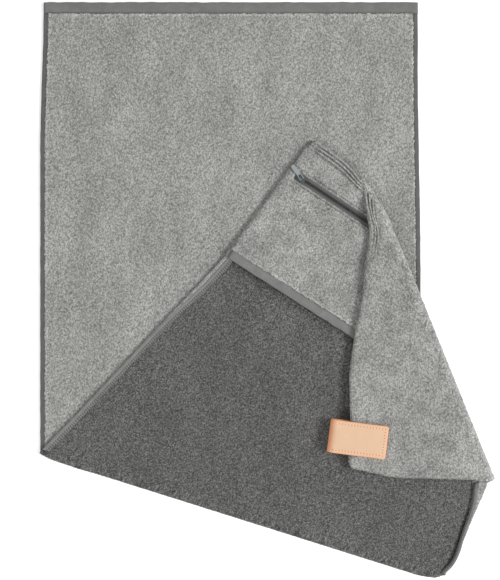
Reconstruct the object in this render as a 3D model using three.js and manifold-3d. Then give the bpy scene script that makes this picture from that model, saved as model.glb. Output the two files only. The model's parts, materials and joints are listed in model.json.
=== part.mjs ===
// Hooded sports towel, turned up over one fold and turned back over another.
// Millimetres, +Z up. The flat layout is drawn from the near end's left corner:
// +X runs across the towel, and the towel's length runs towards -Y.

import * as THREE from 'three';
import { mergeVertices } from 'three/addons/utils/BufferGeometryUtils.js';
import Module from 'manifold-3d';

const wasm = await Module();
wasm.setup();

// Cloth
const towelWidth = 425;
const terryThickness = 1.9;
const backingThickness = 1.3;
const plyGap = 0.3;            // between neighbouring solids

// Lower panel, from the near end down to the first fold
const lowerLeftLength = 508;
const flareStart = 470;        // where the right edge starts to splay out
const flareWidth = 33;
const foldOneSlope = 17.5;     // degrees below the near end's line

// Turned-up panel
const upperLeftLength = 298;
const upperLeftAngle = 47.4;   // degrees from +X
const hoodDepth = 172.3;
const hoodLeftAngle = 53.7;
const farEndAngle = -40;
const farEndShown = 78;        // far end from its left corner to the second fold
const foldTwoAngle = -68;
const upperRightAngle = 66.4;
const hoodOpeningAngle = -32.6;

// Corner flap
const flapEdgeAngle = -93.4;
const flapHoodInset = 12;      // opening of the hood from the fold, on the flap's lower edge
const flapLift = 3.8;          // room under the flap for the zip slider
const flapCornerRadius = 16;
const hoodCornerRadius = 14;

// Hems
const nearHemWidth = 13.4;
const sideHemWidth = 6;
const openingHemWidth = 12;

// Zip
const zipFromFarEnd = 49;      // zip line from the hood's left far corner, square to the zip
const zipFromLeftEdge = 22;    // rest place of the slider's centre, along the zip
const zipAngle = -33.5;
const zipSlotBefore = 8;       // slot end behind the slider's centre
const zipSlotAfter = 99;
const zipSlotWidth = 12;
const tapeThickness = 0.6;
const coilWidth = 1.5;
const coilThickness = 1.2;
const coilSpacing = 0.4;
const stopLength = 2;
const sliderLength = 8.5;
const sliderWidth = 7.4;
const sliderPlate = 0.9;
const sliderFlange = 0.9;
const crownLength = 5.6;
const crownWidth = 1.1;
const crownWall = 0.8;
const crownRoom = 1.2;         // clear height under the crown
const pullLength = 19;
const pullWidth = 4.5;
const pullEyeWidth = 5;
const pullEyeRim = 0.75;
const pullEyeLength = 5.8;
const pullThickness = 0.7;
const pullAngle = 126.2;       // direction of the pull at rest, degrees from +X

// Magnet clip
const clipLength = 65.6;
const clipWidth = 37;
const clipAngle = -7.3;
const clipFromCorner = 35.4;    // clip's middle, up the flap's edge from its lower corner
const clipOutside = 23.3;      // clip's folded end, out from the flap's edge
const coverThickness = 1.5;
const clipLiningThickness = 0.8;
const magnetThickness = 1.2;
const magnetLength = 30;
const magnetWidth = 24;
const magnetFromEnd = 8;       // from the clip's open end
const liningMargin = 1.2;      // lining in from the cover's edges
const clipCornerRadius = 2.5;

// Heights of the plies, each written as [bottom, top]
const layerThickness = backingThickness + plyGap + terryThickness;
const lowerBacking = [0, backingThickness];
const lowerTerry = [layerThickness - terryThickness, layerThickness];
const upperBottom = layerThickness + plyGap;
const upperTerry = [upperBottom, upperBottom + terryThickness];
const upperBacking = [upperTerry[1] + plyGap, upperBottom + layerThickness];
const hoodLining = stackOn(upperBacking, backingThickness);
const hoodTerry = stackOn(hoodLining, terryThickness);
const flapHoodTerry = [hoodTerry[1] + flapLift, hoodTerry[1] + flapLift + terryThickness];
const flapHoodLining = stackOn(flapHoodTerry, backingThickness);
const flapBacking = stackOn(flapHoodLining, backingThickness);
const flapTerry = stackOn(flapBacking, terryThickness);
const foldOneHeight = (lowerTerry[1] + upperTerry[0]) / 2;
const foldTwoHeight = (hoodTerry[1] + flapHoodTerry[0]) / 2;
const foldTwoWrap = Math.PI * (flapBacking[0] - foldTwoHeight);

function stackOn(layer, thickness) {
  return [layer[1] + plyGap, layer[1] + plyGap + thickness];
}

// Plane geometry: points are Vector2, and a line has a point and a direction
function direction(degrees) {
  const angle = THREE.MathUtils.degToRad(degrees);
  return new THREE.Vector2(Math.cos(angle), Math.sin(angle));
}

function along(point, degrees, distance) {
  return point.clone().addScaledVector(direction(degrees), distance);
}

function crossing(lineA, lineB) {
  const between = lineB.point.clone().sub(lineA.point);
  const turn = lineA.direction.cross(lineB.direction);
  return lineA.point.clone().addScaledVector(lineA.direction, between.cross(lineB.direction) / turn);
}

function lineFrom(point, degrees) {
  return { point, direction: direction(degrees) };
}

// Edge i of a clockwise outline runs from corner i to the next one; its inside is on the right
function edgeLine(corners, i, inset) {
  const start = corners[i];
  const heading = corners[(i + 1) % corners.length].clone().sub(start).normalize();
  const inward = new THREE.Vector2(heading.y, -heading.x);
  return { point: start.clone().addScaledVector(inward, inset), direction: heading };
}

function insetOutline(corners, insets) {
  return corners.map((corner, i) => {
    const before = (i + corners.length - 1) % corners.length;
    return crossing(edgeLine(corners, before, insets[before]), edgeLine(corners, i, insets[i]));
  });
}

// Band of a given width inside a run of edges, ended by the neighbouring edges' insets
function bandOutline(corners, firstEdge, lastEdge, width, startInset, endInset) {
  const side = (inset) => {
    const lines = [edgeLine(corners, (firstEdge + corners.length - 1) % corners.length, startInset)];
    for (let i = firstEdge; i <= lastEdge; i++) lines.push(edgeLine(corners, i, inset));
    lines.push(edgeLine(corners, (lastEdge + 1) % corners.length, endInset));
    return lines.slice(1).map((line, i) => crossing(lines[i], line));
  };
  return [...side(0), ...side(width).reverse()];
}

// Solids
function plate(corners, [bottom, top], radii = [], holes = []) {
  const shape = new THREE.Shape();
  corners.forEach((corner, i) => {
    const radius = radii[i] ?? 0;
    const before = corners[(i + corners.length - 1) % corners.length];
    const after = corners[(i + 1) % corners.length];
    const entry = corner.clone().addScaledVector(before.clone().sub(corner).normalize(), radius);
    const exit = corner.clone().addScaledVector(after.clone().sub(corner).normalize(), radius);
    if (i === 0) shape.moveTo(entry.x, entry.y);
    else shape.lineTo(entry.x, entry.y);
    if (radius > 0) shape.quadraticCurveTo(corner.x, corner.y, exit.x, exit.y);
  });
  holes.forEach((hole) => shape.holes.push(new THREE.Path(hole)));
  const geometry = new THREE.ExtrudeGeometry(shape, {
    depth: top - bottom, bevelEnabled: false, curveSegments: 6,
  });
  return geometry.translate(0, 0, bottom);
}

function halfRing(innerRadius, outerRadius, length) {
  const shape = new THREE.Shape();
  shape.absarc(0, 0, outerRadius, -Math.PI / 2, Math.PI / 2, false);
  shape.absarc(0, 0, innerRadius, Math.PI / 2, -Math.PI / 2, true);
  return new THREE.ExtrudeGeometry(shape, { depth: length, bevelEnabled: false, curveSegments: 12 });
}

// Half ring standing along a fold, rounded out to the left of the way from start to end
function bendAlong(start, end, height, innerRadius, outerRadius) {
  const heading = end.clone().sub(start).normalize();
  const outward = new THREE.Vector3(-heading.y, heading.x, 0);
  const frame = new THREE.Matrix4().makeBasis(
    outward, new THREE.Vector3(0, 0, 1), new THREE.Vector3(heading.x, heading.y, 0),
  );
  frame.setPosition(start.x, start.y, height);
  return halfRing(innerRadius, outerRadius, start.distanceTo(end)).applyMatrix4(frame);
}

function toManifold(geometry) {
  const bare = geometry.clone();
  bare.deleteAttribute('normal');
  bare.deleteAttribute('uv');
  const merged = mergeVertices(bare.index ? bare.toNonIndexed() : bare, 1e-4);
  return new wasm.Manifold(new wasm.Mesh({
    numProp: 3,
    vertProperties: Float32Array.from(merged.attributes.position.array),
    triVerts: Uint32Array.from(merged.index.array),
  }));
}

function toGeometry(solid) {
  const made = solid.getMesh();
  const geometry = new THREE.BufferGeometry();
  geometry.setAttribute('position', new THREE.BufferAttribute(made.vertProperties, 3));
  geometry.setIndex(new THREE.BufferAttribute(made.triVerts, 1));
  geometry.computeVertexNormals();
  return geometry;
}

function block(xRange, yRange, zRange) {
  const size = [xRange, yRange, zRange].map(([low, high]) => high - low);
  const middle = [xRange, yRange, zRange].map(([low, high]) => (low + high) / 2);
  return new THREE.BoxGeometry(...size).translate(...middle);
}

// Materials
const finish = {
  terry: { color: 0x9b9b96, roughness: 0.95 },
  backing: { color: 0x5f5f5c, roughness: 0.95 },
  hem: { color: 0x828280, roughness: 0.85 },
  tape: { color: 0x5a5b59, roughness: 0.85 },
  coil: { color: 0x3c3c3b, roughness: 0.5 },
  zipMetal: { color: 0xa7aeb0, roughness: 0.35, metalness: 0.9 },
  leather: { color: 0xe9c3a5, roughness: 0.55 },
  suede: { color: 0xd9b08c, roughness: 0.9 },
  magnet: { color: 0x8d8f92, roughness: 0.4, metalness: 0.9 },
};

function part(name, geometry, finishName) {
  const mesh = new THREE.Mesh(geometry, new THREE.MeshStandardMaterial(finish[finishName]));
  mesh.name = name;
  return mesh;
}

// Outlines, all clockwise seen from above
const nearLeft = new THREE.Vector2(0, 0);
const nearRight = new THREE.Vector2(towelWidth, 0);
const flareCorner = new THREE.Vector2(towelWidth, -flareStart);
const foldOneStart = new THREE.Vector2(0, -lowerLeftLength);
const foldOneEnd = crossing(
  { point: new THREE.Vector2(towelWidth + flareWidth, 0), direction: new THREE.Vector2(0, -1) },
  lineFrom(foldOneStart, -foldOneSlope),
);
const lowerCorners = [nearLeft, nearRight, flareCorner, foldOneEnd, foldOneStart];
const lowerHems = [nearHemWidth, sideHemWidth, sideHemWidth, 0, sideHemWidth];

const hoodLeft = along(foldOneStart, upperLeftAngle, upperLeftLength);
const farLeft = along(hoodLeft, hoodLeftAngle, hoodDepth);
const foldTwoStart = along(farLeft, farEndAngle, farEndShown);
const foldTwoLine = lineFrom(foldTwoStart, foldTwoAngle);
const foldTwoEnd = crossing(foldTwoLine, lineFrom(foldOneEnd, upperRightAngle));
const openingEnd = crossing(foldTwoLine, lineFrom(hoodLeft, hoodOpeningAngle));
const upperCorners = [foldOneStart, hoodLeft, farLeft, foldTwoStart, foldTwoEnd, foldOneEnd];
const hoodCorners = [hoodLeft, farLeft, foldTwoStart, openingEnd];

const flapEdgeLength = towelWidth - farEndShown - foldTwoWrap;
const flapCorner = along(foldTwoStart, flapEdgeAngle, flapEdgeLength);
const flapCorners = [flapCorner, foldTwoStart, foldTwoEnd];
const flapOpeningEnd = foldTwoEnd.clone().addScaledVector(
  flapCorner.clone().sub(foldTwoEnd).normalize(), flapHoodInset,
);
const flapHoodCorners = [flapCorner, foldTwoStart, openingEnd, flapOpeningEnd];

// The field of a panel stands one gap in from its hems and folds
function fieldInsets(hems, plainEdges = []) {
  return hems.map((width, i) => (plainEdges.includes(i) ? 0 : width + plyGap));
}

function lowerPanel() {
  const field = insetOutline(lowerCorners, fieldInsets(lowerHems));
  const fullHeight = [lowerBacking[0], lowerTerry[1]];
  const belowNearHem = nearHemWidth + plyGap;
  return [
    part('lower_backing', plate(field, lowerBacking), 'backing'),
    part('lower_terry', plate(field, lowerTerry), 'terry'),
    part('near_end_hem', plate(bandOutline(lowerCorners, 0, 0, nearHemWidth, 0, 0), fullHeight), 'hem'),
    part('lower_right_hem', plate(
      bandOutline(lowerCorners, 1, 2, sideHemWidth, belowNearHem, plyGap), fullHeight), 'hem'),
    part('lower_left_hem', plate(
      bandOutline(lowerCorners, 4, 4, sideHemWidth, plyGap, belowNearHem), fullHeight), 'hem'),
  ];
}

function firstFold() {
  const bend = (layer) => bendAlong(
    foldOneEnd, foldOneStart, foldOneHeight, layer[0] - foldOneHeight, layer[1] - foldOneHeight,
  );
  return [
    part('first_fold_terry', bend(upperTerry), 'terry'),
    part('first_fold_backing', bend(upperBacking), 'backing'),
  ];
}

function upperPanel() {
  const hems = [sideHemWidth, 0, 0, 0, sideHemWidth, 0];
  const seamEdges = [1, 2];
  const insets = fieldInsets(hems, seamEdges);
  const fullHeight = [upperTerry[0], upperBacking[1]];
  const hemEnd = edgeLine([openingEnd, hoodLeft], 0, 0);
  const fieldStep = edgeLine([openingEnd, hoodLeft], 0, plyGap);
  // The left hem stops at the hood's opening, where the cloth steps out to the hood's seam
  const field = insetOutline(upperCorners, insets);
  field.splice(1, 1,
    crossing(fieldStep, edgeLine(upperCorners, 0, insets[0])),
    crossing(fieldStep, edgeLine(upperCorners, 1, 0)));
  const radii = [0, 0, 0, hoodCornerRadius];
  const leftHem = bandOutline(upperCorners, 0, 0, sideHemWidth, plyGap, 0);
  leftHem[1] = crossing(hemEnd, edgeLine(upperCorners, 0, 0));
  leftHem[2] = crossing(hemEnd, edgeLine(upperCorners, 0, sideHemWidth));
  return [
    part('upper_terry', plate(field, upperTerry, radii), 'terry'),
    part('upper_backing', plate(field, upperBacking, radii), 'backing'),
    part('upper_left_hem', plate(leftHem, fullHeight), 'hem'),
    part('upper_right_hem', plate(
      bandOutline(upperCorners, 4, 4, sideHemWidth, plyGap, plyGap), fullHeight), 'hem'),
  ];
}

// Zip frame: X along the zip from the slider's centre at rest, Y towards the far end
const zipLineStart = crossing(
  lineFrom(along(farLeft, zipAngle - 90, zipFromFarEnd), zipAngle),
  edgeLine([hoodLeft, farLeft], 0, 0),
);
const zipOrigin = along(zipLineStart, zipAngle, zipFromLeftEdge);

function inZipFrame(x, y) {
  return along(along(zipOrigin, zipAngle, x), zipAngle + 90, y);
}

function zipRectangle(xRange, yRange) {
  return [
    inZipFrame(xRange[0], yRange[0]), inZipFrame(xRange[1], yRange[0]),
    inZipFrame(xRange[1], yRange[1]), inZipFrame(xRange[0], yRange[1]),
  ];
}

function hood() {
  const insets = [0, 0, plyGap, openingHemWidth + plyGap];
  const radii = [0, hoodCornerRadius];
  const field = insetOutline(hoodCorners, insets);
  const slot = zipRectangle([-zipSlotBefore, zipSlotAfter], [-zipSlotWidth / 2, zipSlotWidth / 2]);
  return [
    part('hood_lining', plate(field, hoodLining, radii), 'backing'),
    part('hood_panel', plate(field, hoodTerry, radii, [slot]), 'terry'),
    part('hood_opening_hem', plate(
      bandOutline(hoodCorners, 3, 3, openingHemWidth, plyGap, 0), [hoodLining[0], hoodTerry[1]]), 'hem'),
  ];
}

const tapeLevel = [hoodTerry[0], hoodTerry[0] + tapeThickness];
const coilLevel = [tapeLevel[1] + plyGap, tapeLevel[1] + plyGap + coilThickness];
const plateLevel = [coilLevel[1] + plyGap, coilLevel[1] + plyGap + sliderPlate];
const crownTop = plateLevel[1] + crownRoom + crownWall;
const pullAxisHeight = plateLevel[1] + crownRoom / 2;

function zipFixed() {
  const halfSpacing = coilSpacing / 2;
  const tapeEdge = zipSlotWidth / 2 - plyGap;
  const tapeRange = [-zipSlotBefore + plyGap, zipSlotAfter - plyGap];
  const topStop = [-sliderLength / 2 - plyGap - stopLength, -sliderLength / 2 - plyGap];
  const bottomStop = [tapeRange[1] - 2 * stopLength, tapeRange[1] - stopLength];
  const coilRange = [topStop[1] + plyGap, bottomStop[0] - plyGap];
  const coilEdge = halfSpacing + coilWidth;
  const parts = [
    part('zip_top_stop', plate(zipRectangle(topStop, [-coilEdge, coilEdge]), coilLevel), 'zipMetal'),
    part('zip_bottom_stop', plate(zipRectangle(bottomStop, [-coilEdge, coilEdge]), coilLevel), 'zipMetal'),
  ];
  for (const [side, sign] of [['far', 1], ['near', -1]]) {
    const between = (a, b) => [Math.min(sign * a, sign * b), Math.max(sign * a, sign * b)];
    const tape = zipRectangle(tapeRange, between(halfSpacing, tapeEdge));
    const coil = zipRectangle(coilRange, between(halfSpacing, coilEdge));
    parts.push(part(`zip_tape_${side}`, plate(tape, tapeLevel), 'tape'));
    parts.push(part(`zip_coil_${side}`, plate(coil, coilLevel), 'coil'));
  }
  return parts;
}

// Slider: a plate over the coils, a flange down each side, and a crown that holds the pull
function zipSlider() {
  const halfLength = sliderLength / 2;
  const halfWidth = sliderWidth / 2;
  const xAll = [-halfLength, halfLength];
  const legTop = [plateLevel[1] - crownWall / 2, crownTop];
  const solids = [
    block(xAll, [-halfWidth, halfWidth], plateLevel),
    block(xAll, [halfWidth - sliderFlange, halfWidth], [coilLevel[0], plateLevel[1]]),
    block(xAll, [-halfWidth, sliderFlange - halfWidth], [coilLevel[0], plateLevel[1]]),
    block([-crownLength / 2, crownWall - crownLength / 2], [-crownWidth / 2, crownWidth / 2], legTop),
    block([crownLength / 2 - crownWall, crownLength / 2], [-crownWidth / 2, crownWidth / 2], legTop),
    block([-crownLength / 2, crownLength / 2], [-crownWidth / 2, crownWidth / 2],
      [crownTop - crownWall, crownTop]),
  ];
  const joined = solids.map(toManifold).reduce((whole, solid) => whole.add(solid));
  const slider = part('zip_slider', toGeometry(joined), 'zipMetal');
  slider.position.set(zipOrigin.x, zipOrigin.y, 0);
  slider.rotation.z = THREE.MathUtils.degToRad(zipAngle);
  return slider;
}

// Pull: an eye round the crown at its near end, then a flat shank with a round tip
function zipPull() {
  const eyeHalf = pullEyeWidth / 2;
  const shankHalf = pullWidth / 2;
  const tipStart = pullLength - shankHalf;
  const rim = pullThickness / 2;
  const shape = new THREE.Shape();
  shape.moveTo(-rim, -eyeHalf);
  shape.lineTo(pullEyeLength, -eyeHalf);
  shape.lineTo(pullEyeLength + 2 * rim, -shankHalf);
  shape.lineTo(tipStart, -shankHalf);
  shape.absarc(tipStart, 0, shankHalf, -Math.PI / 2, Math.PI / 2, false);
  shape.lineTo(pullEyeLength + 2 * rim, shankHalf);
  shape.lineTo(pullEyeLength, eyeHalf);
  shape.lineTo(-rim, eyeHalf);
  const eye = new THREE.Path();
  eye.moveTo(rim, pullEyeRim - eyeHalf);
  eye.lineTo(pullEyeLength - rim, pullEyeRim - eyeHalf);
  eye.lineTo(pullEyeLength - rim, eyeHalf - pullEyeRim);
  eye.lineTo(rim, eyeHalf - pullEyeRim);
  shape.holes.push(eye);
  const geometry = new THREE.ExtrudeGeometry(shape, {
    depth: pullThickness, bevelEnabled: false, curveSegments: 10,
  });
  const pull = part('zip_pull', geometry.translate(0, 0, -rim), 'zipMetal');
  pull.position.set(zipOrigin.x, zipOrigin.y, pullAxisHeight);
  pull.rotation.z = THREE.MathUtils.degToRad(pullAngle);
  return pull;
}

// The hood's plies turn over the second fold only as far as the hood's opening
function secondFold() {
  const bend = (layer, end) => bendAlong(
    foldTwoStart, end, foldTwoHeight, layer[0] - foldTwoHeight, layer[1] - foldTwoHeight,
  );
  return [
    part('second_fold_hood_terry', bend(flapHoodTerry, openingEnd), 'terry'),
    part('second_fold_lining', bend(flapHoodLining, openingEnd), 'backing'),
    part('second_fold_backing', bend(flapBacking, foldTwoEnd), 'backing'),
    part('second_fold_terry', bend(flapTerry, foldTwoEnd), 'terry'),
  ];
}

function flap() {
  const field = insetOutline(flapCorners, [0, plyGap, 0]);
  const hoodField = insetOutline(flapHoodCorners, [0, plyGap, openingHemWidth + plyGap, 0]);
  const radii = [flapCornerRadius];
  const hemStrip = bandOutline(flapHoodCorners, 2, 2, openingHemWidth, plyGap, 0);
  return [
    part('flap_hood_panel', plate(hoodField, flapHoodTerry, radii), 'terry'),
    part('flap_hood_lining', plate(hoodField, flapHoodLining, radii), 'backing'),
    part('flap_hood_hem', plate(hemStrip, [flapHoodTerry[0], flapHoodLining[1]]), 'hem'),
    part('flap_backing', plate(field, flapBacking, radii), 'backing'),
    part('flap_terry', plate(field, flapTerry, radii), 'terry'),
  ];
}

// Clip frame: X from the folded end to the open end, Y across, Z up from the middle of its height
function clip() {
  const wallHeight = coverThickness + magnetThickness + clipLiningThickness + 3 * plyGap;
  const slotHeight = flapTerry[1] - flapHoodTerry[0];
  const halfHeight = slotHeight / 2 + wallHeight;
  const liningHalfHeight = slotHeight / 2 + plyGap + clipLiningThickness;
  const magnetBottom = liningHalfHeight + plyGap;
  const magnetRange = [clipLength - magnetFromEnd - magnetLength, clipLength - magnetFromEnd];
  const magnetSides = [-magnetWidth / 2, magnetWidth / 2];
  const clipGroup = new THREE.Group();
  clipGroup.add(
    part('clip_cover', foldedStrip(halfHeight, halfHeight, coverThickness, clipLength, clipWidth,
      clipCornerRadius), 'leather'),
    part('clip_lining', foldedStrip(halfHeight, liningHalfHeight, clipLiningThickness,
      clipLength - liningMargin, clipWidth - 2 * liningMargin, clipCornerRadius), 'suede'),
    part('clip_magnet_upper', block(magnetRange, magnetSides,
      [magnetBottom, magnetBottom + magnetThickness]), 'magnet'),
    part('clip_magnet_lower', block(magnetRange, magnetSides,
      [-magnetBottom - magnetThickness, -magnetBottom]), 'magnet'),
  );
  const onEdge = along(flapCorner, flapEdgeAngle + 180, clipFromCorner);
  const foldedEnd = along(onEdge, clipAngle + 180, clipOutside);
  clipGroup.position.set(foldedEnd.x, foldedEnd.y, (flapHoodTerry[0] + flapTerry[1]) / 2);
  clipGroup.rotation.z = THREE.MathUtils.degToRad(clipAngle);
  return clipGroup;
}

// A strip folded into a U round X = bendCentre, with its two open corners cut round on each leaf
function foldedStrip(bendCentre, halfHeight, thickness, openEnd, width, cornerRadius) {
  const inner = halfHeight - thickness;
  const profile = new THREE.Shape();
  profile.moveTo(openEnd, -halfHeight);
  profile.lineTo(openEnd, -inner);
  profile.absarc(bendCentre, 0, inner, -Math.PI / 2, Math.PI / 2, true);
  profile.lineTo(openEnd, inner);
  profile.lineTo(openEnd, halfHeight);
  profile.absarc(bendCentre, 0, halfHeight, Math.PI / 2, -Math.PI / 2, false);
  const strip = new THREE.ExtrudeGeometry(profile, {
    depth: width, bevelEnabled: false, curveSegments: 16,
  });
  strip.rotateX(Math.PI / 2).translate(0, width / 2, 0);
  const halfWidth = width / 2;
  const leaf = [
    new THREE.Vector2(-1, -halfWidth - 1), new THREE.Vector2(-1, halfWidth + 1),
    new THREE.Vector2(openEnd - cornerRadius, halfWidth + 1),
    new THREE.Vector2(openEnd - cornerRadius, halfWidth), new THREE.Vector2(openEnd, halfWidth),
    new THREE.Vector2(openEnd, -halfWidth), new THREE.Vector2(openEnd - cornerRadius, -halfWidth),
    new THREE.Vector2(openEnd - cornerRadius, -halfWidth - 1),
  ];
  const trim = plate(leaf, [-halfHeight - 1, halfHeight + 1],
    [0, 0, 0, 0, cornerRadius, cornerRadius]);
  return toGeometry(toManifold(strip).intersect(toManifold(trim)));
}

const towel = new THREE.Group();
towel.add(
  ...lowerPanel(), ...firstFold(), ...upperPanel(), ...hood(), ...zipFixed(),
  zipSlider(), zipPull(), ...secondFold(), ...flap(), clip(),
);

// The origin is the middle of the bottom of the whole object's box
const extent = new THREE.Box3().setFromObject(towel);
const middle = extent.getCenter(new THREE.Vector3());
towel.position.set(-middle.x, -middle.y, -extent.min.z);
towel.updateMatrixWorld(true);

export default towel;
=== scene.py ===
import json
from math import asin, atan2, ceil, cos, exp, hypot, pi, radians, sin, sqrt

import bmesh
import bpy
from mathutils import Matrix, Vector, noise


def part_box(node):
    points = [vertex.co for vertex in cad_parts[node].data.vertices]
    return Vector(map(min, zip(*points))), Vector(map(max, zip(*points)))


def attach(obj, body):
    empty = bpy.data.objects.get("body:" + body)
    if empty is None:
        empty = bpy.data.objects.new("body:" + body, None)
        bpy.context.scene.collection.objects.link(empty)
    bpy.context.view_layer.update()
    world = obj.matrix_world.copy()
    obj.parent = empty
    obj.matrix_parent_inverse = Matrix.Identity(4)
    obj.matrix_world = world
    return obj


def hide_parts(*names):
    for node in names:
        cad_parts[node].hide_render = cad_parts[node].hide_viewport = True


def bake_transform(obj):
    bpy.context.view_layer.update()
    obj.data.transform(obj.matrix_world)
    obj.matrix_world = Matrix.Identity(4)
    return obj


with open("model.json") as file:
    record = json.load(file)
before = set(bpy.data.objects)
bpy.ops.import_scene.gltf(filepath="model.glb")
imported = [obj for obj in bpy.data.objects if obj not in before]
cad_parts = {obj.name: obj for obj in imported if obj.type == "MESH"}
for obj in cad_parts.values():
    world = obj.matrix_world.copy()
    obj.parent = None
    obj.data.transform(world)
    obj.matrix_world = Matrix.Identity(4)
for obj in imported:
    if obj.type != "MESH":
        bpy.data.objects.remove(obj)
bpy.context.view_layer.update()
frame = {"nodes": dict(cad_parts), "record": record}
mm = 0.001
joints = {j["name"]: j for j in frame["record"]["behaviour"]["joints"]}
print("frame loaded")


# places taken from the frame

def flat(values):
    return Vector((values[0], values[1]))


def lineAt(point, heading):
    return {"point": point, "heading": heading.normalized()}


def crossing(a, b):
    turn = a["heading"].cross(b["heading"])
    reach = (b["point"] - a["point"]).cross(b["heading"]) / turn
    return a["point"] + a["heading"] * reach


def lineBetween(a, b):
    return lineAt(a, b - a)


def edgeGap(point, a, b):
    # distance from a point to the stretch from a to b
    heading = b - a
    t = min(max((point - a).dot(heading) / heading.length_squared, 0), 1)
    return (point - a - heading * t).length


def smooth(t):
    t = min(max(t, 0.0), 1.0)
    return t * t * (3 - 2 * t)


firstStart = flat(joints["first_fold"]["pos_m"])
firstAlong = flat(joints["first_fold"]["axis"])
firstOutward = Vector((firstAlong.y, -firstAlong.x))
firstHeight = joints["first_fold"]["pos_m"][2]
secondStart = flat(joints["second_fold"]["pos_m"])
secondAlong = -flat(joints["second_fold"]["axis"])
secondInward = Vector((secondAlong.y, -secondAlong.x))
zipCentre = Vector(joints["pull_swing"]["pos_m"])
zipAlong = flat(joints["zip_run"]["axis"])
clipAlong = -flat(joints["clip_pull_off"]["axis"])
clipWidth = 37 * mm
cornerUp = 21 * mm            # how far the flap's lower corner lies above its lowest point
openingTurn = radians(-32.6)  # the hood's opening, off the X axis

lowerBox = [Vector(c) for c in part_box("near_end_hem")]
leftX = lowerBox[0].x
rightX = lowerBox[1].x
nearY = lowerBox[1].y
nearHem = lowerBox[1].y - lowerBox[0].y
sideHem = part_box("lower_left_hem")[1][0] - leftX
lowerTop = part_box("lower_terry")[1][2]
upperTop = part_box("upper_backing")[1][2]
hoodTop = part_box("hood_panel")[1][2]
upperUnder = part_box("upper_terry")[0][2]
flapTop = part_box("flap_terry")[1][2]
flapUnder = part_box("flap_hood_panel")[0][2]
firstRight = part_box("lower_terry")[1][0] + sideHem
firstEnd = crossing(lineAt(firstStart, firstAlong), lineAt(Vector((firstRight, 0)), Vector((0, 1))))
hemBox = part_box("upper_left_hem")
hoodLeft = Vector((hemBox[1][0] - 0.2 * sideHem, hemBox[1][1]))
hoodFar = Vector((0.0500, 0.1737))
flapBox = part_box("flap_terry")
secondLine = lineAt(secondStart, secondAlong)
secondEnd = secondStart + secondAlong * ((flapBox[0][1] - secondStart.y) / secondAlong.y)
flapCorner = Vector((flapBox[0][0], flapBox[0][1] + cornerUp))
openingHeading = Vector((cos(openingTurn), sin(openingTurn)))
openingUp = Vector((-openingHeading.y, openingHeading.x))
openingLine = lineAt(hoodLeft, openingHeading)
openingEnd = crossing(openingLine, secondLine)
openingHem = 12 * mm
hemCut = (secondStart + secondInward * 1 * mm, -secondInward)   # where the hood's hem meets its fold


# how the lying cloth departs from straight lines

drape = {
    # each entry is centre, shift and reach in millimetres
    "upper": [
        ((82, 150), (1.4, 1.7), 26),      # hood's closed end bows out
        ((111, 129), (-3.4, -2.4), 14),   # the second fold's start is rounded
        ((212, -301), (3.2, -1.2), 22),   # right corner splays
        ((206, -327), (-4.5, 4.5), 11),   # and is rounded
        ((-256, -180), (-3.6, -2.4), 40),   # left corner splays
    ],
    "lift": [((252, -219), (-1.5, 4.5), 30)],      # the flap's lower corner is drawn up
    "leftTuck": [((-68, 20), (3.4, -3.1), 52)],    # the hem draws in towards the hood
    "rightTuck": [((250, -206), (-12, 1), 34)],    # and towards the flap's corner
    "flap": [
        ((105, 62), (8.5, 0), 30),        # flap's edge swings in below the fold's start
        ((102, 5), (5.5, 0), 34),
        ((94, -92), (-4.2, 0), 42),       # and out again above the clip
        ((138, -206), (0, -4.5), 34),
        ((218, -216), (0, 2.2), 26),
    ],
    "bow": 5.0,           # the first fold's roll is flat and lies out past its line
    "bowStart": 70,
    "bowEnd": 40,
    "flareFrom": 470,     # the lower panel's right edge swings out this far from the near end
    "leftDrift": 4.0,     # below its near end both edges lie further out by this
    "rightDrift": 3.2,
    "edgeReach": 60,      # the cloth this far in from an edge goes with it
    "flapHold": 18,       # the flap's shifts die away towards its fold
    "startDrop": 9.5,     # the flap lies lower where its fold starts
    "startReach": 110,
    "sliderRoom": 7.5,    # the flap stands clear of the slider's run
    "sliderFade": 17,
    "hoodDrop": 0.6,
    "hoodReach": 60,
    "sag": 2.6,           # away from the fold and the clip
    "clipReach": 60,
    "ripple": 0.8,
}


def foldBow(s):
    # how far out the first fold's roll lies, s along it
    length = (firstEnd - firstStart).length
    share = smooth((s + 15 * mm) / (drape["bowStart"] * mm))
    return drape["bow"] * mm * share * smooth((length + 6 * mm - s) / (drape["bowEnd"] * mm))


def flareShifts(point):
    # the lower panel's long edges lie a little apart, the right one most at the first fold
    reach = drape["edgeReach"] * mm
    flareTop = nearY - drape["flareFrom"] * mm
    down = smooth((flareTop - point.y) / (flareTop - firstEnd.y))
    nearRight = smooth((point.x - rightX + reach) / reach)
    nearLeft = smooth((leftX + reach - point.x) / reach)
    fromRight = smooth((nearY - 60 * mm - point.y) / (260 * mm))
    fromLeft = smooth((nearY - point.y) / (170 * mm))
    return ((firstRight - rightX) * down * nearRight,
            drape["rightDrift"] * mm * nearRight * (1 - down) * fromRight,
            -drape["leftDrift"] * mm * nearLeft * fromLeft)


def warped(point, names):
    moved = Vector((point.x, point.y))
    for name in names:
        if name == "flare":
            for shift in flareShifts(point):
                moved.x += shift
            continue
        hold = 1.0
        if name == "flap":
            hold = smooth((point.xy - secondStart).dot(secondInward) / (drape["flapHold"] * mm))
        for centre, shift, reach in drape[name]:
            gap = (point.xy - Vector(centre) * mm).length / (reach * mm)
            moved += Vector(shift) * mm * exp(-gap * gap) * hold
    return moved


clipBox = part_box("clip_cover")
clipMiddle = Vector(((clipBox[0][0] + clipBox[1][0]) / 2, (clipBox[0][1] + clipBox[1][1]) / 2))


zipReach = joints["zip_run"]["range_m"][1]


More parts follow.
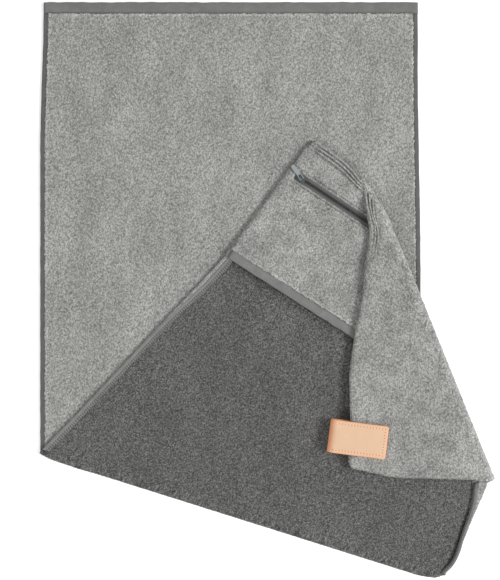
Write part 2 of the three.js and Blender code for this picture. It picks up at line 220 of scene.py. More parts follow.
def zipRoom(point):
    # 0 where the slider runs under the flap, 1 well away from it
    last = zipCentre.xy + zipAlong * (zipReach + 8 * mm)
    gap = edgeGap(point, zipCentre.xy + zipAlong * zipReach * 0.6, last)
    return smooth((gap - drape["sliderRoom"] * mm) / (drape["sliderFade"] * mm))


def flapDrop(point):
    # how far the flap's plies sink under their straight heights
    along = (point - secondStart).dot(secondAlong)
    inward = (point - secondStart).dot(secondInward)
    nearClip = exp(-((point - clipMiddle).length / (drape["clipReach"] * mm)) ** 2)
    start = drape["startDrop"] * smooth(1 - along / (drape["startReach"] * mm))
    sag = drape["sag"] * smooth((inward - 15 * mm) / (70 * mm)) * (1 - nearClip)
    wave = noise.noise(Vector((point.x, point.y, 0.4)) / 0.055) * drape["ripple"] * (1 - nearClip)
    return (max(start, 0) + sag + wave * smooth(inward / (30 * mm))) * zipRoom(point) * mm


def hoodDrop(point):
    return drape["hoodDrop"] * mm * smooth(1 - (point - secondStart).length / (drape["hoodReach"] * mm))


def ripple(point, depth):
    return depth * mm * noise.noise(Vector((point.x, point.y, 0.1)) / 0.07)


# materials

def newMaterial(name):
    material = bpy.data.materials.new(name)
    material.use_nodes = True
    shader = material.node_tree.nodes["Principled BSDF"]
    return material, material.node_tree.nodes, material.node_tree.links, shader


def noiseNode(nodes, links, source, scale, detail=2.0, roughness=0.5):
    node = nodes.new("ShaderNodeTexNoise")
    node.inputs["Scale"].default_value = scale
    node.inputs["Detail"].default_value = detail
    node.inputs["Roughness"].default_value = roughness
    links.new(source, node.inputs["Vector"])
    return node


def rampNode(nodes, links, source, stops):
    ramp = nodes.new("ShaderNodeValToRGB")
    for _ in stops[2:]:
        ramp.color_ramp.elements.new(0.5)
    for element, (place, colour) in zip(ramp.color_ramp.elements, stops):
        element.position = place
        element.color = (*colour, 1)
    links.new(source, ramp.inputs["Fac"])
    return ramp


def mixNode(nodes, links, kind, factor, a, b):
    mix = nodes.new("ShaderNodeMix")
    mix.data_type = "RGBA"
    mix.blend_type = kind
    if isinstance(factor, float):
        mix.inputs[0].default_value = factor
    else:
        links.new(factor, mix.inputs[0])
    links.new(a, mix.inputs[6])
    links.new(b, mix.inputs[7])
    return mix.outputs[2]


def bumpNode(nodes, links, height, strength, distance, normal=None):
    bump = nodes.new("ShaderNodeBump")
    bump.inputs["Strength"].default_value = strength
    bump.inputs["Distance"].default_value = distance
    links.new(height, bump.inputs["Height"])
    if normal is not None:
        links.new(normal, bump.inputs["Normal"])
    return bump.outputs["Normal"]


def tint(colour, gain):
    return tuple(c * gain for c in colour)


def pileMaterial(name, look):
    # the colour follows the nap's own height, as painted shade on low loops and painted highlight on tall
    # ones, then a fine speckle and broad patches
    material, nodes, links, shader = newMaterial(name)
    place = nodes.new("ShaderNodeTexCoord").outputs["Object"]
    nap = nodes.new("ShaderNodeAttribute")
    nap.attribute_name = "nap"
    colour = look["colour"]
    base = rampNode(nodes, links, nap.outputs["Fac"], [
        (0.0, tint(colour, look["pit"])), (0.5, colour), (1.0, tint(colour, look["tip"]))])
    speck = noiseNode(nodes, links, place, look["speckScale"], 4.0, 0.7)
    speck.inputs["Distortion"].default_value = 0.8
    speckTone = rampNode(nodes, links, speck.outputs["Fac"], [
        (0.41, tint((1, 1, 1), look["speckDark"])), (0.59, tint((1, 1, 1), look["speckLight"]))])
    lay = nodes.new("ShaderNodeMapping")   # the nap's lay draws broad patches out into strokes
    lay.inputs["Rotation"].default_value[2] = look["layTurn"]
    lay.inputs["Scale"].default_value = (1.0, look["layStretch"], 1.0)
    links.new(place, lay.inputs["Vector"])
    patch = noiseNode(nodes, links, lay.outputs["Vector"], look["patchScale"], 3.0, 0.6)
    patchTone = rampNode(nodes, links, patch.outputs["Fac"], [
        (0.36, tint((1, 1, 1), look["patchDark"])), (0.66, (1.06, 1.06, 1.06))])
    # each loop is one warped cell, with a painted highlight on its crown and painted shade in the gaps round
    # it
    curl = noiseNode(nodes, links, place, look["loopScale"] * 0.45, 2.0)
    sway = nodes.new("ShaderNodeVectorMath")
    sway.operation = "MULTIPLY_ADD"
    sway.inputs[1].default_value = (look["sway"] * mm,) * 3
    links.new(curl.outputs["Color"], sway.inputs[0])
    links.new(place, sway.inputs[2])
    stroke = nodes.new("ShaderNodeMapping")
    stroke.inputs["Rotation"].default_value[2] = look["layTurn"]
    stroke.inputs["Scale"].default_value = (1.0, look["loopStretch"], 1.0)
    links.new(sway.outputs["Vector"], stroke.inputs["Vector"])
    loop = nodes.new("ShaderNodeTexVoronoi")
    loop.inputs["Scale"].default_value = look["loopScale"]
    links.new(stroke.outputs["Vector"], loop.inputs["Vector"])
    crown = rampNode(nodes, links, loop.outputs["Distance"], [
        (0.05, (look["crown"],) * 3), (0.40, (1, 1, 1)), (0.72, (look["gap"],) * 3)])
    toned = mixNode(nodes, links, "MULTIPLY", 1.0, base.outputs["Color"], speckTone.outputs["Color"])
    toned = mixNode(nodes, links, "MULTIPLY", 1.0, toned, crown.outputs["Color"])
    toned = mixNode(nodes, links, "MULTIPLY", 1.0, toned, patchTone.outputs["Color"])
    links.new(toned, shader.inputs["Base Color"])
    fibre = noiseNode(nodes, links, place, look["fibreScale"], 4.0, 0.7)
    normal = bumpNode(nodes, links, fibre.outputs["Fac"], look["bump"], 0.5 * mm)
    normal = bumpNode(nodes, links, crown.outputs["Color"], look["bump"], 0.6 * mm, normal)
    links.new(bumpNode(nodes, links, speck.outputs["Fac"], look["bump"], 1.0 * mm, normal),
              shader.inputs["Normal"])
    rough = rampNode(nodes, links, fibre.outputs["Fac"], [
        (0.2, (0.85, 0.85, 0.85)), (0.8, (1, 1, 1))])
    links.new(rough.outputs["Color"], shader.inputs["Roughness"])
    shader.inputs["Sheen Weight"].default_value = look["sheen"]
    shader.inputs["Sheen Roughness"].default_value = 0.5
    shader.inputs["Specular IOR Level"].default_value = 0.15
    return material


def wovenMaterial(name, look):
    # flat weave: two crossed sets of fine ribs, turned to the piece's own direction
    material, nodes, links, shader = newMaterial(name)
    place = nodes.new("ShaderNodeTexCoord").outputs["Object"]
    mapping = nodes.new("ShaderNodeMapping")
    mapping.inputs["Rotation"].default_value[2] = look["turn"]
    links.new(place, mapping.inputs["Vector"])
    ribs = []
    for direction, scale in (("X", look["ribScale"]), ("Y", look["ribScale"] * 0.8)):
        wave = nodes.new("ShaderNodeTexWave")
        wave.bands_direction = direction
        wave.inputs["Scale"].default_value = scale
        wave.inputs["Distortion"].default_value = 0.6
        wave.inputs["Detail"].default_value = 1.0
        links.new(mapping.outputs["Vector"], wave.inputs["Vector"])
        ribs.append(wave.outputs["Color"])
    weave = mixNode(nodes, links, "MULTIPLY", 0.7, ribs[0], ribs[1])
    fuzz = noiseNode(nodes, links, place, look["fuzzScale"], 4.0, 0.75)
    blend = mixNode(nodes, links, "MIX", 0.65, weave, fuzz.outputs["Fac"])
    colour = look["colour"]
    tone = rampNode(nodes, links, blend, [
        (0.1, tint(colour, look["pit"])), (0.5, colour), (0.9, tint(colour, look["tip"]))])
    broad = noiseNode(nodes, links, place, look["broadScale"], 3.0)
    broadTone = rampNode(nodes, links, broad.outputs["Fac"], [
        (0.3, (0.84, 0.84, 0.84)), (0.7, (1.04, 1.04, 1.04))])
    toned = mixNode(nodes, links, "MULTIPLY", 1.0, tone.outputs["Color"], broadTone.outputs["Color"])
    links.new(toned, shader.inputs["Base Color"])
    links.new(bumpNode(nodes, links, blend, 0.6, 0.25 * mm), shader.inputs["Normal"])
    shader.inputs["Roughness"].default_value = 0.86
    shader.inputs["Sheen Weight"].default_value = 0.2
    shader.inputs["Specular IOR Level"].default_value = 0.2
    return material


def threadMaterial(name, colour):
    material, nodes, links, shader = newMaterial(name)
    place = nodes.new("ShaderNodeTexCoord").outputs["Object"]
    twist = noiseNode(nodes, links, place, 2500.0, 2.0)
    tone = rampNode(nodes, links, twist.outputs["Fac"], [
        (0.3, tint(colour, 0.75)), (0.7, tint(colour, 1.15))])
    links.new(tone.outputs["Color"], shader.inputs["Base Color"])
    links.new(bumpNode(nodes, links, twist.outputs["Fac"], 0.5, 0.1 * mm), shader.inputs["Normal"])
    shader.inputs["Roughness"].default_value = 0.7
    return material


def metalMaterial(name, colour, rough):
    material, nodes, links, shader = newMaterial(name)
    place = nodes.new("ShaderNodeTexCoord").outputs["Object"]
    scuff = noiseNode(nodes, links, place, 900.0, 4.0, 0.7)
    tone = rampNode(nodes, links, scuff.outputs["Fac"], [
        (0.3, tint(colour, 0.82)), (0.7, colour)])
    roughTone = rampNode(nodes, links, scuff.outputs["Fac"], [
        (0.3, (rough + 0.12,) * 3), (0.7, (rough,) * 3)])
    links.new(tone.outputs["Color"], shader.inputs["Base Color"])
    links.new(roughTone.outputs["Color"], shader.inputs["Roughness"])
    links.new(bumpNode(nodes, links, scuff.outputs["Fac"], 0.15, 0.05 * mm), shader.inputs["Normal"])
    shader.inputs["Metallic"].default_value = 0.85
    return material


def leatherMaterial(name, look):
    # the rim attribute runs from 0 on the face to 1 on the burnished edge; the folded end gets the edge
    # colour partly as painted highlight, and the stitch line a faint painted shade
    material, nodes, links, shader = newMaterial(name)
    place = nodes.new("ShaderNodeTexCoord").outputs["Object"]
    rim = nodes.new("ShaderNodeAttribute")
    rim.attribute_name = "rim"
    cloud = noiseNode(nodes, links, place, look["cloudScale"], 4.0, 0.6)
    face = rampNode(nodes, links, cloud.outputs["Fac"], [
        (0.3, tint(look["face"], 0.93)), (0.7, look["face"])])
    pores = nodes.new("ShaderNodeTexVoronoi")
    pores.inputs["Scale"].default_value = look["poreScale"]
    links.new(place, pores.inputs["Vector"])
    poreTone = rampNode(nodes, links, pores.outputs["Distance"], [
        (0.0, (0.9, 0.88, 0.86)), (0.35, (1, 1, 1))])
    edge = rampNode(nodes, links, cloud.outputs["Fac"], [
        (0.3, tint(look["edge"], 0.85)), (0.7, look["edge"])])
    faceTone = mixNode(nodes, links, "MULTIPLY", 1.0, face.outputs["Color"], poreTone.outputs["Color"])
    links.new(mixNode(nodes, links, "MIX", rim.outputs["Fac"], faceTone, edge.outputs["Color"]),
              shader.inputs["Base Color"])
    links.new(bumpNode(nodes, links, pores.outputs["Distance"], look["bump"], 0.12 * mm),
              shader.inputs["Normal"])
    rough = rampNode(nodes, links, cloud.outputs["Fac"], [
        (0.3, (look["rough"],) * 3), (0.7, (look["rough"] + 0.12,) * 3)])
    links.new(rough.outputs["Color"], shader.inputs["Roughness"])
    shader.inputs["Specular IOR Level"].default_value = 0.35
    return material


lightGrey = (0.383, 0.383, 0.367)
darkGrey = (0.141, 0.141, 0.135)
hemGrey = (0.185, 0.185, 0.181)

terry = pileMaterial("lightTerry", {
    "colour": lightGrey, "pit": 0.45, "tip": 1.45, "speckScale": 560.0, "speckDark": 0.82,
    "speckLight": 1.18, "loopScale": 620.0, "loopStretch": 0.7, "crown": 1.22, "gap": 0.60,
    "patchScale": 26.0, "patchDark": 0.84, "layTurn": 0.7, "layStretch": 0.45, "sway": 2.2,
    "fibreScale": 2400.0, "bump": 0.8, "sheen": 0.2})
darkPile = pileMaterial("darkPile", {
    "colour": darkGrey, "pit": 0.34, "tip": 1.5, "speckScale": 600.0, "speckDark": 0.63,
    "speckLight": 1.39, "loopScale": 700.0, "loopStretch": 0.8, "crown": 1.4, "gap": 0.46,
    "patchScale": 18.0, "patchDark": 0.90, "layTurn": -0.3, "layStretch": 0.7, "sway": 2.2,
    "fibreScale": 2600.0, "bump": 0.7, "sheen": 0.15})


def hemCloth(name, heading, colour=hemGrey):
    return wovenMaterial(name, {
        "colour": colour, "pit": 0.55, "tip": 1.4, "ribScale": 260.0, "fuzzScale": 620.0,
        "broadScale": 95.0,
        "turn": -atan2(heading.y, heading.x)})


hemThread = threadMaterial("hemThread", (0.055, 0.055, 0.054))
sideThread = threadMaterial("sideThread", (0.10, 0.10, 0.098))
paleThread = threadMaterial("paleThread", (0.33, 0.33, 0.32))
clipThread = threadMaterial("clipThread", (0.88, 0.66, 0.47))
# painted shade for the clip's needle holes
clipHole = threadMaterial("clipHole", (0.17, 0.10, 0.05))
zipMetal = metalMaterial("zipMetal", (0.42, 0.47, 0.47), 0.34)
darkMetal = metalMaterial("darkMetal", (0.13, 0.14, 0.14), 0.4)
# the edge colour is the leather's burnished orange, made brighter as painted light for the shaded folded end
tanLeather = leatherMaterial("tanLeather", {
    "face": (0.667, 0.442, 0.293), "edge": (0.90, 0.37, 0.17), "bump": 0.35, "rough": 0.5,
    "cloudScale": 55.0, "poreScale": 1100.0})
suede = leatherMaterial("suede", {
    "face": (0.66, 0.43, 0.28), "edge": (0.55, 0.30, 0.16), "bump": 0.8, "rough": 0.8,
    "cloudScale": 55.0, "poreScale": 1100.0})
print("materials made")


# making and placing pieces

def makeObject(bm, name, material, body, nodes=(), slot=None, smoothFaces=True):
    mesh = bpy.data.meshes.new(name)
    for face in bm.faces:
        face.smooth = smoothFaces
    bm.to_mesh(mesh)
    bm.free()
    piece = bpy.data.objects.new(name, mesh)
    bpy.context.scene.collection.objects.link(piece)
    mesh.materials.append(material)
    if nodes:
        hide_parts(*nodes)
    if isinstance(body, str):
        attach(piece, body)
    else:
        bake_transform(piece)
    return piece


def roundedCorners(corners, radii, steps=5):
    # each corner with a radius becomes a short arc
    points = []
    for i, corner in enumerate(corners):
        radius = radii.get(i, 0) * mm
        if not radius:
            points.append(corner)
            continue
        entry = corner + (corners[i - 1] - corner).normalized() * radius
        leave = corner + (corners[(i + 1) % len(corners)] - corner).normalized() * radius
        for k in range(steps + 1):
            t = k / steps
            points.append(entry * (1 - t) ** 2 + corner * 2 * t * (1 - t) + leave * t * t)
    return points


def gridPatch(corners, pitch, heading):
    # a fine grid laid along heading, trimmed to a convex outline
    turn = Matrix.Rotation(atan2(heading.y, heading.x), 2)
    local = [turn.transposed() @ c for c in corners]
    low = Vector((min(c.x for c in local), min(c.y for c in local)))
    high = Vector((max(c.x for c in local), max(c.y for c in local)))
    size = high - low
    bm = bmesh.new()
    bmesh.ops.create_grid(bm, x_segments=ceil(size.x / pitch), y_segments=ceil(size.y / pitch), size=0.5)
    middle = turn @ ((low + high) / 2)
    place = (Matrix.Translation((middle.x, middle.y, 0)) @ turn.to_4x4()
             @ Matrix.Diagonal((size.x, size.y, 1, 1)))
    bmesh.ops.transform(bm, matrix=place, verts=bm.verts)
    centre = sum(corners, Vector((0, 0))) / len(corners)
    for i, a in enumerate(corners):
        b = corners[(i + 1) % len(corners)]
        outward = Vector((b.y - a.y, a.x - b.x))
        if outward.length < 1e-6:
            continue
        if outward.dot(centre - a) > 0:
            outward = -outward
        bmesh.ops.bisect_plane(
            bm, geom=bm.verts[:] + bm.edges[:] + bm.faces[:], dist=1e-6,
            plane_co=(a.x, a.y, 0), plane_no=(outward.x, outward.y, 0), clear_outer=True)
    bmesh.ops.remove_doubles(bm, verts=bm.verts, dist=pitch * 0.12)
    return bm


def napAt(place, look):
    # loops stand at odd heights and lean to odd sides, in small tussocks
    lean = noise.cell_vector(place / (look["loop"] * mm)) - Vector((0.5, 0.5, 0.5))
    tussock = noise.noise(place / (look["tussock"] * mm))
    return lean, tussock


def clothPly(name, corners, look, surface, thickness, material, body, node, warps=(), side=1,
             follow=False, rim=0.0, slot=None, heading=Vector((1, 0)), lip=0.0, lipEdges=None, shade=None):
    # a ply whose fine side faces up (side 1) or down (side -1); the other side follows it or is flat
    bm = gridPatch(corners, look["pitch"] * mm, heading)
    nap = bm.verts.layers.float.new("nap")
    fine = set(bm.verts)
    border = [e for e in bm.edges if e.is_boundary]
    borderVerts = {v for e in border for v in e.verts}
    outline = lipEdges or list(zip(corners, corners[1:] + corners[:1]))
    if follow:
        made = bmesh.ops.extrude_face_region(bm, geom=bm.faces[:])["geom"]
        back = {g for g in made if isinstance(g, bmesh.types.BMVert)}
    else:
        made = bmesh.ops.extrude_edge_only(bm, edges=border)["geom"]
        back = {g for g in made if isinstance(g, bmesh.types.BMVert)}
        rimEdges = [g for g in made if isinstance(g, bmesh.types.BMEdge)
                    and g.verts[0] in back and g.verts[1] in back]
        bmesh.ops.contextual_create(bm, geom=rimEdges)
    for v in bm.verts:
        point = Vector((v.co.x, v.co.y))
        height = surface(point)
        moved = warped(point, warps)
        if v in fine:
            lean, tussock = napAt(Vector((point.x, point.y, height)), look)
            spread = look["lean"] * mm * (1 + rim * (v in borderVerts))
            lift = (lean.z * look["rise"] + tussock * look["tussockRise"]) * mm
            # painted shade and highlight: low loops get a darker tone, tall loops a lighter one
            tone = 0.5 + lean.z * look["napTone"]
            if lip:
                near = min(edgeGap(point, a, b) for a, b in outline)
                if near < 4 * mm:   # the last loops stand up against the hem
                    rise = (1 - near / (4 * mm)) ** 1.5
                    lift += lip * mm * rise * (0.7 + 0.8 * (lean.y + 0.5))
                    # painted highlight: the standing loops are lightened as well
                    tone += 0.55 * rise
            # shade adds painted shade, and on the hood and flap random blotches, to the tone
            if shade:
                tone += shade(point)
            v.co = (moved.x + lean.x * spread, moved.y + lean.y * spread, height + side * lift)
            v[nap] = tone
        else:
            v.co = (moved.x, moved.y, height - side * thickness)
            v[nap] = 0.4
    bmesh.ops.recalc_face_normals(bm, faces=bm.faces)
    return makeObject(bm, name, material, body, [node] if node else [], slot)


def sweep(bm, path, section, sides, closed=False):
    # carries a ring of points along a path; section(k, i) gives side and height from the path
    station = bm.verts.layers.int.get("station") or bm.verts.layers.int.new("station")
    ring = bmesh.ops.create_circle(bm, segments=sides, radius=1)["verts"]
    for k, v in enumerate(ring):
        v[station] = k
    edges = list({e for v in ring for e in v.link_edges})
    first = list(edges)

    def setRing(verts, i):
        if closed:
            before, after = path[i - 1], path[(i + 1) % len(path)]
        else:
            before, after = path[max(i - 1, 0)], path[min(i + 1, len(path) - 1)]
        heading = (after - before).normalized()
        across = heading.cross(Vector((0, 0, 1))).normalized()
        up = across.cross(heading)
        for v in verts:
            aside, rise = section(v[station], i)
            v.co = path[i] + across * aside + up * rise

    setRing(ring, 0)
    for i in range(1, len(path)):
        made = bmesh.ops.extrude_edge_only(bm, edges=edges)["geom"]
        verts = {g for g in made if isinstance(g, bmesh.types.BMVert)}
        edges = [g for g in made if isinstance(g, bmesh.types.BMEdge)
                 and g.verts[0] in verts and g.verts[1] in verts]
        setRing(verts, i)
    if closed:
        bmesh.ops.bridge_loops(bm, edges=first + edges)
    else:
        bmesh.ops.contextual_create(bm, geom=first)
        bmesh.ops.contextual_create(bm, geom=edges)


def squareRound(k, sides, halfWidth, halfHeight, power=0.55):
    angle = 2 * pi * k / sides
    c, s = cos(angle), sin(angle)
    return (halfWidth * abs(c) ** power * (1 if c >= 0 else -1),
            halfHeight * abs(s) ** power * (1 if s >= 0 else -1))


def pathPoints(corners, step):
    # evenly spaced points along a run of straight stretches
    points = [corners[0].copy()]
    for a, b in zip(corners, corners[1:]):
        count = max(1, round((b - a).length / step))
        points += [a.lerp(b, k / count) for k in range(1, count + 1)]
    return points


def trimAt(bm, point, outward):
    # cuts a closed piece off along an upright plane and closes the cut
    bmesh.ops.bisect_plane(bm, geom=bm.verts[:] + bm.edges[:] + bm.faces[:], dist=1e-6,
                           plane_co=(point.x, point.y, 0), plane_no=(outward.x, outward.y, 0),
                           clear_outer=True)
    bmesh.ops.holes_fill(bm, edges=[e for e in bm.edges if e.is_boundary])


def hemBand(name, corners, width, bottom, top, material, body, node, warps=(), drop=None,
            cut=None):
    # a rolled hem, slightly uneven
    sides = 16
    path = []
    for p in pathPoints(corners, 3 * mm):
        moved = warped(p, warps)
        path.append(Vector((moved.x, moved.y, (bottom + top) / 2 - (drop(p) if drop else 0))))
    halfWidth = width / 2
    halfHeight = (top - bottom) / 2

    def section(k, i):
        aside, rise = squareRound(k, sides, halfWidth, halfHeight)
        lump = 1 + 0.10 * noise.noise(path[i] / 0.009 + Vector((0, 0, k * 0.3)))
        return aside * lump, rise * lump

    bm = bmesh.new()
    sweep(bm, path, section, sides)
    if cut:
        trimAt(bm, *cut)
    bmesh.ops.recalc_face_normals(bm, faces=bm.faces)
    return makeObject(bm, name, material, body, [node] if node else [], "hem")


def stitchRow(name, corners, height, look, material, body, warps=(), slot="hem"):
    # one run of stitches, each a small slanted bead of thread; share 0.5 is midway between two steps
    bm = bmesh.new()
    step = look["step"] * mm
    points = pathPoints(corners, step)
    for a, b in zip(points, points[1:]):
        middle = a.lerp(b, look.get("share", 0.5))
        moved = warped(middle, warps)
        heading = (warped(b, warps) - warped(a, warps)).normalized()
        z = height(middle) if callable(height) else height
        place = (Matrix.Translation((moved.x, moved.y, z))
                 @ Matrix.Rotation(atan2(heading.y, heading.x) + look["slant"], 4, "Z")
                 @ Matrix.Diagonal((look["length"] * mm / 2, look["radius"] * mm, look["radius"] * mm, 1)))
        bmesh.ops.create_icosphere(bm, subdivisions=1, radius=1, matrix=place)
    return makeObject(bm, name, material, body, (), slot)


terryLook = {"pitch": 1.7, "loop": 1.1, "tussock": 5.0, "lean": 0.8, "rise": 0.85, "tussockRise": 0.22,
             "napTone": 0.34}
fineTerryLook = dict(terryLook, pitch=1.4, loop=1.0, rise=1.1)
pileLook = {"pitch": 1.7, "loop": 1.1, "tussock": 4.0, "lean": 0.5, "rise": 0.5, "tussockRise": 0.14,
            "napTone": 0.4}
hiddenLook = dict(pileLook, pitch=5.0)
backLook = dict(pileLook, pitch=3.2)


# lower panel

def declare(corners):
    # the area of the stretch's outline, worked out and not kept
    area = abs(sum(a.cross(b) for a, b in zip(corners, corners[1:] + corners[:1]))) / 2


lowerLook = {
    "hemShare": 0.9,       # of the side hem's width, where the cloth ends
    "terryThick": 1.7, "terrySunk": 0.5, "terryLip": 0.8,
    "pileThick": 1.2, "pileUp": 0.35,
    "hemUp": 0.2, "hemTone": 0.68,
    "leftPast": 1.5, "rightShort": 1.0,    # where the side hems end at the first fold
    "stitchShare": 0.45, "seamIn": 1.6,
    "stitch": {"step": 2.9, "length": 2.2, "radius": 0.5, "slant": 0.5},
}


def makeLowerPanel():
    look = lowerLook
    inLeft = leftX + sideHem * look["hemShare"]
    inRight = rightX - sideHem * look["hemShare"]
    hemEdge = nearY - nearHem
    edge = lineAt(firstStart, firstAlong)
    hull = [Vector((inLeft, hemEdge)), Vector((inRight, hemEdge)),
            crossing(edge, lineAt(Vector((inRight, 0)), Vector((0, 1)))),
            crossing(edge, lineAt(Vector((inLeft, 0)), Vector((0, 1))))]
    cloth = clothPly(
        "lowerTerryCloth", hull, terryLook,
        lambda p: lowerTop - look["terrySunk"] * mm + ripple(p, 0.5), look["terryThick"] * mm, terry,
        "lower_panel", "lower_terry", ["flare"], rim=1.2, slot="light_terry", lip=look["terryLip"])
    declare(hull)
    back = clothPly(
        "lowerPileCloth", hull, backLook, lambda p: look["pileUp"] * mm, look["pileThick"] * mm,
        darkPile, "lower_panel", "lower_backing", ["flare"], side=-1, slot="dark_pile")
    declare(hull)

    nearMiddle = nearY - nearHem / 2
    under = look["hemUp"] * mm
    hemBand("nearEndHem", [Vector((leftX, nearMiddle)), Vector((rightX, nearMiddle))], nearHem,
            under, lowerTop - 0.1 * mm, hemCloth("nearHemCloth", Vector((1, 0))), "lower_panel",
            "near_end_hem")
    leftMiddle = leftX + sideHem / 2
    rightMiddle = rightX - sideHem / 2
    leftLine = [Vector((leftMiddle, hemEdge)),
                Vector((leftMiddle, firstStart.y - look["leftPast"] * mm))]
    rightLine = [Vector((rightMiddle, hemEdge)),
                 Vector((rightMiddle, firstEnd.y + look["rightShort"] * mm))]
    for side, line in (("left", leftLine), ("right", rightLine)):
        cloth = hemCloth(side + "HemCloth", Vector((0, 1)), tint(hemGrey, look["hemTone"]))
        hemBand("lower%sHem" % side.capitalize(), line, sideHem, under, lowerTop + 0.1 * mm, cloth,
                "lower_panel", "lower_%s_hem" % side, ["flare"])
    for side, line, outward in (("left", leftLine, 1), ("right", rightLine, -1)):
        shift = outward * look["stitchShare"] * sideHem / 2
        moved = [p + Vector((shift, 0)) for p in line]
        stitchRow(side + "HemStitches", moved, lowerTop + 0.02 * mm, look["stitch"], sideThread,
                  "lower_panel", ["flare"])
    seamY = hemEdge + look["seamIn"] * mm
    seam = [Vector((leftX + sideHem, seamY)), Vector((rightX - sideHem, seamY))]
    stitchRow("nearHemStitches", seam, lowerTop - 0.05 * mm,
              dict(look["stitch"], slant=0.0, length=1.8, radius=0.3), hemThread, "lower_panel")


makeLowerPanel()
print("lower panel made")


# folds

def foldRoll(name, start, along, outward, length, centre, radius, look, material, body, node, warps=(),
             slot=None, thickness=1.2 * mm, tuck=2.5 * mm, side=1, bow=None):
    # half round along a fold: columns run along it, rows go round it from under to over
    rows = max(8, ceil(pi * radius(length / 2) / (look["pitch"] * mm)))
    bm = bmesh.new()
    bmesh.ops.create_grid(bm, x_segments=ceil(length / (look["pitch"] * mm)), y_segments=rows, size=0.5)
    nap = bm.verts.layers.float.new("nap")
    fine = set(bm.verts)
    made = bmesh.ops.extrude_face_region(bm, geom=bm.faces[:])["geom"]
    back = {g for g in made if isinstance(g, bmesh.types.BMVert)}
    for v in bm.verts:
        s = (v.co.x + 0.5) * length
        inset = 0.0
        arc = (v.co.y + 0.5) * (1 + 2 * tuck / (pi * radius(s))) - tuck / (pi * radius(s))
        if arc < 0 or arc > 1:
            inset = (abs(arc - 0.5) - 0.5) * pi * radius(s)
        angle = (min(max(arc, 0), 1) - 0.5) * pi
        reach = radius(s) - (thickness if v in back else 0)
        reach -= 0.12 * inset
        point = start + along * s
        place = Vector((point.x, point.y, centre(s)))
        spoke = Vector((outward.x * cos(angle), outward.y * cos(angle), sin(angle)))
        place = place + spoke * reach - Vector((outward.x, outward.y, 0)) * inset
        if bow:
            place += Vector((outward.x, outward.y, 0)) * cos(angle) * bow(s)
        moved = warped(place, warps)
        place = Vector((moved.x, moved.y, place.z))
        if v in fine:
            lean, tussock = napAt(place, look)
            lift = (lean.z * look["rise"] + tussock * look["tussockRise"]) * mm
            place += spoke * lift * side
            place += Vector((along.x, along.y, 0)) * lean.x * look["lean"] * mm
            # painted highlight: the roll's outward face is lightened
            edge = look.get("edgeTone", 0) * max(cos(angle), 0) ** 2
            # painted shade and highlight: the tone also follows each loop's and tussock's height
            v[nap] = 0.5 + lean.z * 0.75 + tussock * 0.35 + edge
        else:
            v[nap] = 0.4
        v.co = place
    bmesh.ops.recalc_face_normals(bm, faces=bm.faces)
    return makeObject(bm, name, material, body, [node], slot)


firstFoldLook = {
    "taperOver": 14, "taperEnd": 0.62, "taperRise": 0.38,    # the roll is smaller at both ends
    "pileSkin": 0.2, "pilePitch": 1.4, "pileMargin": 5,      # margins are what lies past the half round
    "terrySkin": 1.7, "terryRise": 0.3, "terryMargin": 1, "terryThick": 1.0, "terryTuck": 0.5,
    "lowerEnd": 1.9, "upperEnd": 1.4,                        # where it joins the two panels
}


def makeFirstFold():
    look = firstFoldLook
    length = (firstEnd - firstStart).length
    outer = upperTop - firstHeight

    def taper(s):
        ends = min(s, length - s) / (look["taperOver"] * mm)
        return look["taperEnd"] + look["taperRise"] * smooth(ends)

    blend = ("lower_panel", "upper_panel", (*firstStart, lowerTop - look["lowerEnd"] * mm),
             (*firstStart, upperTop - look["upperEnd"] * mm))
    pile = foldRoll(
        "firstFoldPile", firstStart, firstAlong, firstOutward, length, lambda s: firstHeight,
        lambda s: (outer - look["pileSkin"] * mm) * taper(s), dict(pileLook, pitch=look["pilePitch"]),
        darkPile, blend, "first_fold_backing", ["upper"], "dark_pile", bow=foldBow)
    inside = outer - look["terrySkin"] * mm
    inner = foldRoll(
        "firstFoldTerry", firstStart, firstAlong, firstOutward, length, lambda s: firstHeight,
        lambda s: inside * taper(s), dict(terryLook, rise=look["terryRise"]), terry, blend,
        "first_fold_terry", ["upper"], "light_terry", thickness=look["terryThick"] * mm,
        tuck=look["terryTuck"] * mm, bow=foldBow)


makeFirstFold()
print("first fold made")


# turned-up panel and hood

def undersideLip(point, edges, reach, depth):
    # how far a sewn edge turns in: 0 away from the edges, depth right at them
    gap = min(edgeGap(point, a, b) for a, b in edges)
    if gap >= reach:
        return 0.0
    t = 1 - gap / reach
    return depth * (1 - sqrt(max(0.0, 1 - t * t)))


def seamRidges(point, edges, look):
    # parallel stitched grooves a set distance in from the closed end
    return -look["grooveDepth"] * mm * seamShade(point, edges, look)


ridgeLook = {"grooves": (5.0, 8.8, 12.6), "grooveWidth": 1.1, "grooveDepth": 1.2, "shade": 0.38,
             "ridges": (3.1, 6.9, 10.7), "ridgeRadius": 1.2, "flapRun": 130, "ridgeTone": 0.58}
hoodSeams = [(hoodLeft, hoodFar), (hoodFar, secondStart)]


def seamShade(point, edges, look):
    # 1 in the middle of a stitched groove
    gap = min(edgeGap(point, a, b) for a, b in edges) / mm
    return sum(exp(-((gap - g) / look["grooveWidth"]) ** 2) for g in look["grooves"])


def blotch(point):
    # the turned-up terry is brushed both ways
    return 0.24 * noise.noise(Vector((point.x, point.y, 0.7)) / 0.016)


def tuckAt(point, name):
    return (warped(point, [name]) - point.xy).length


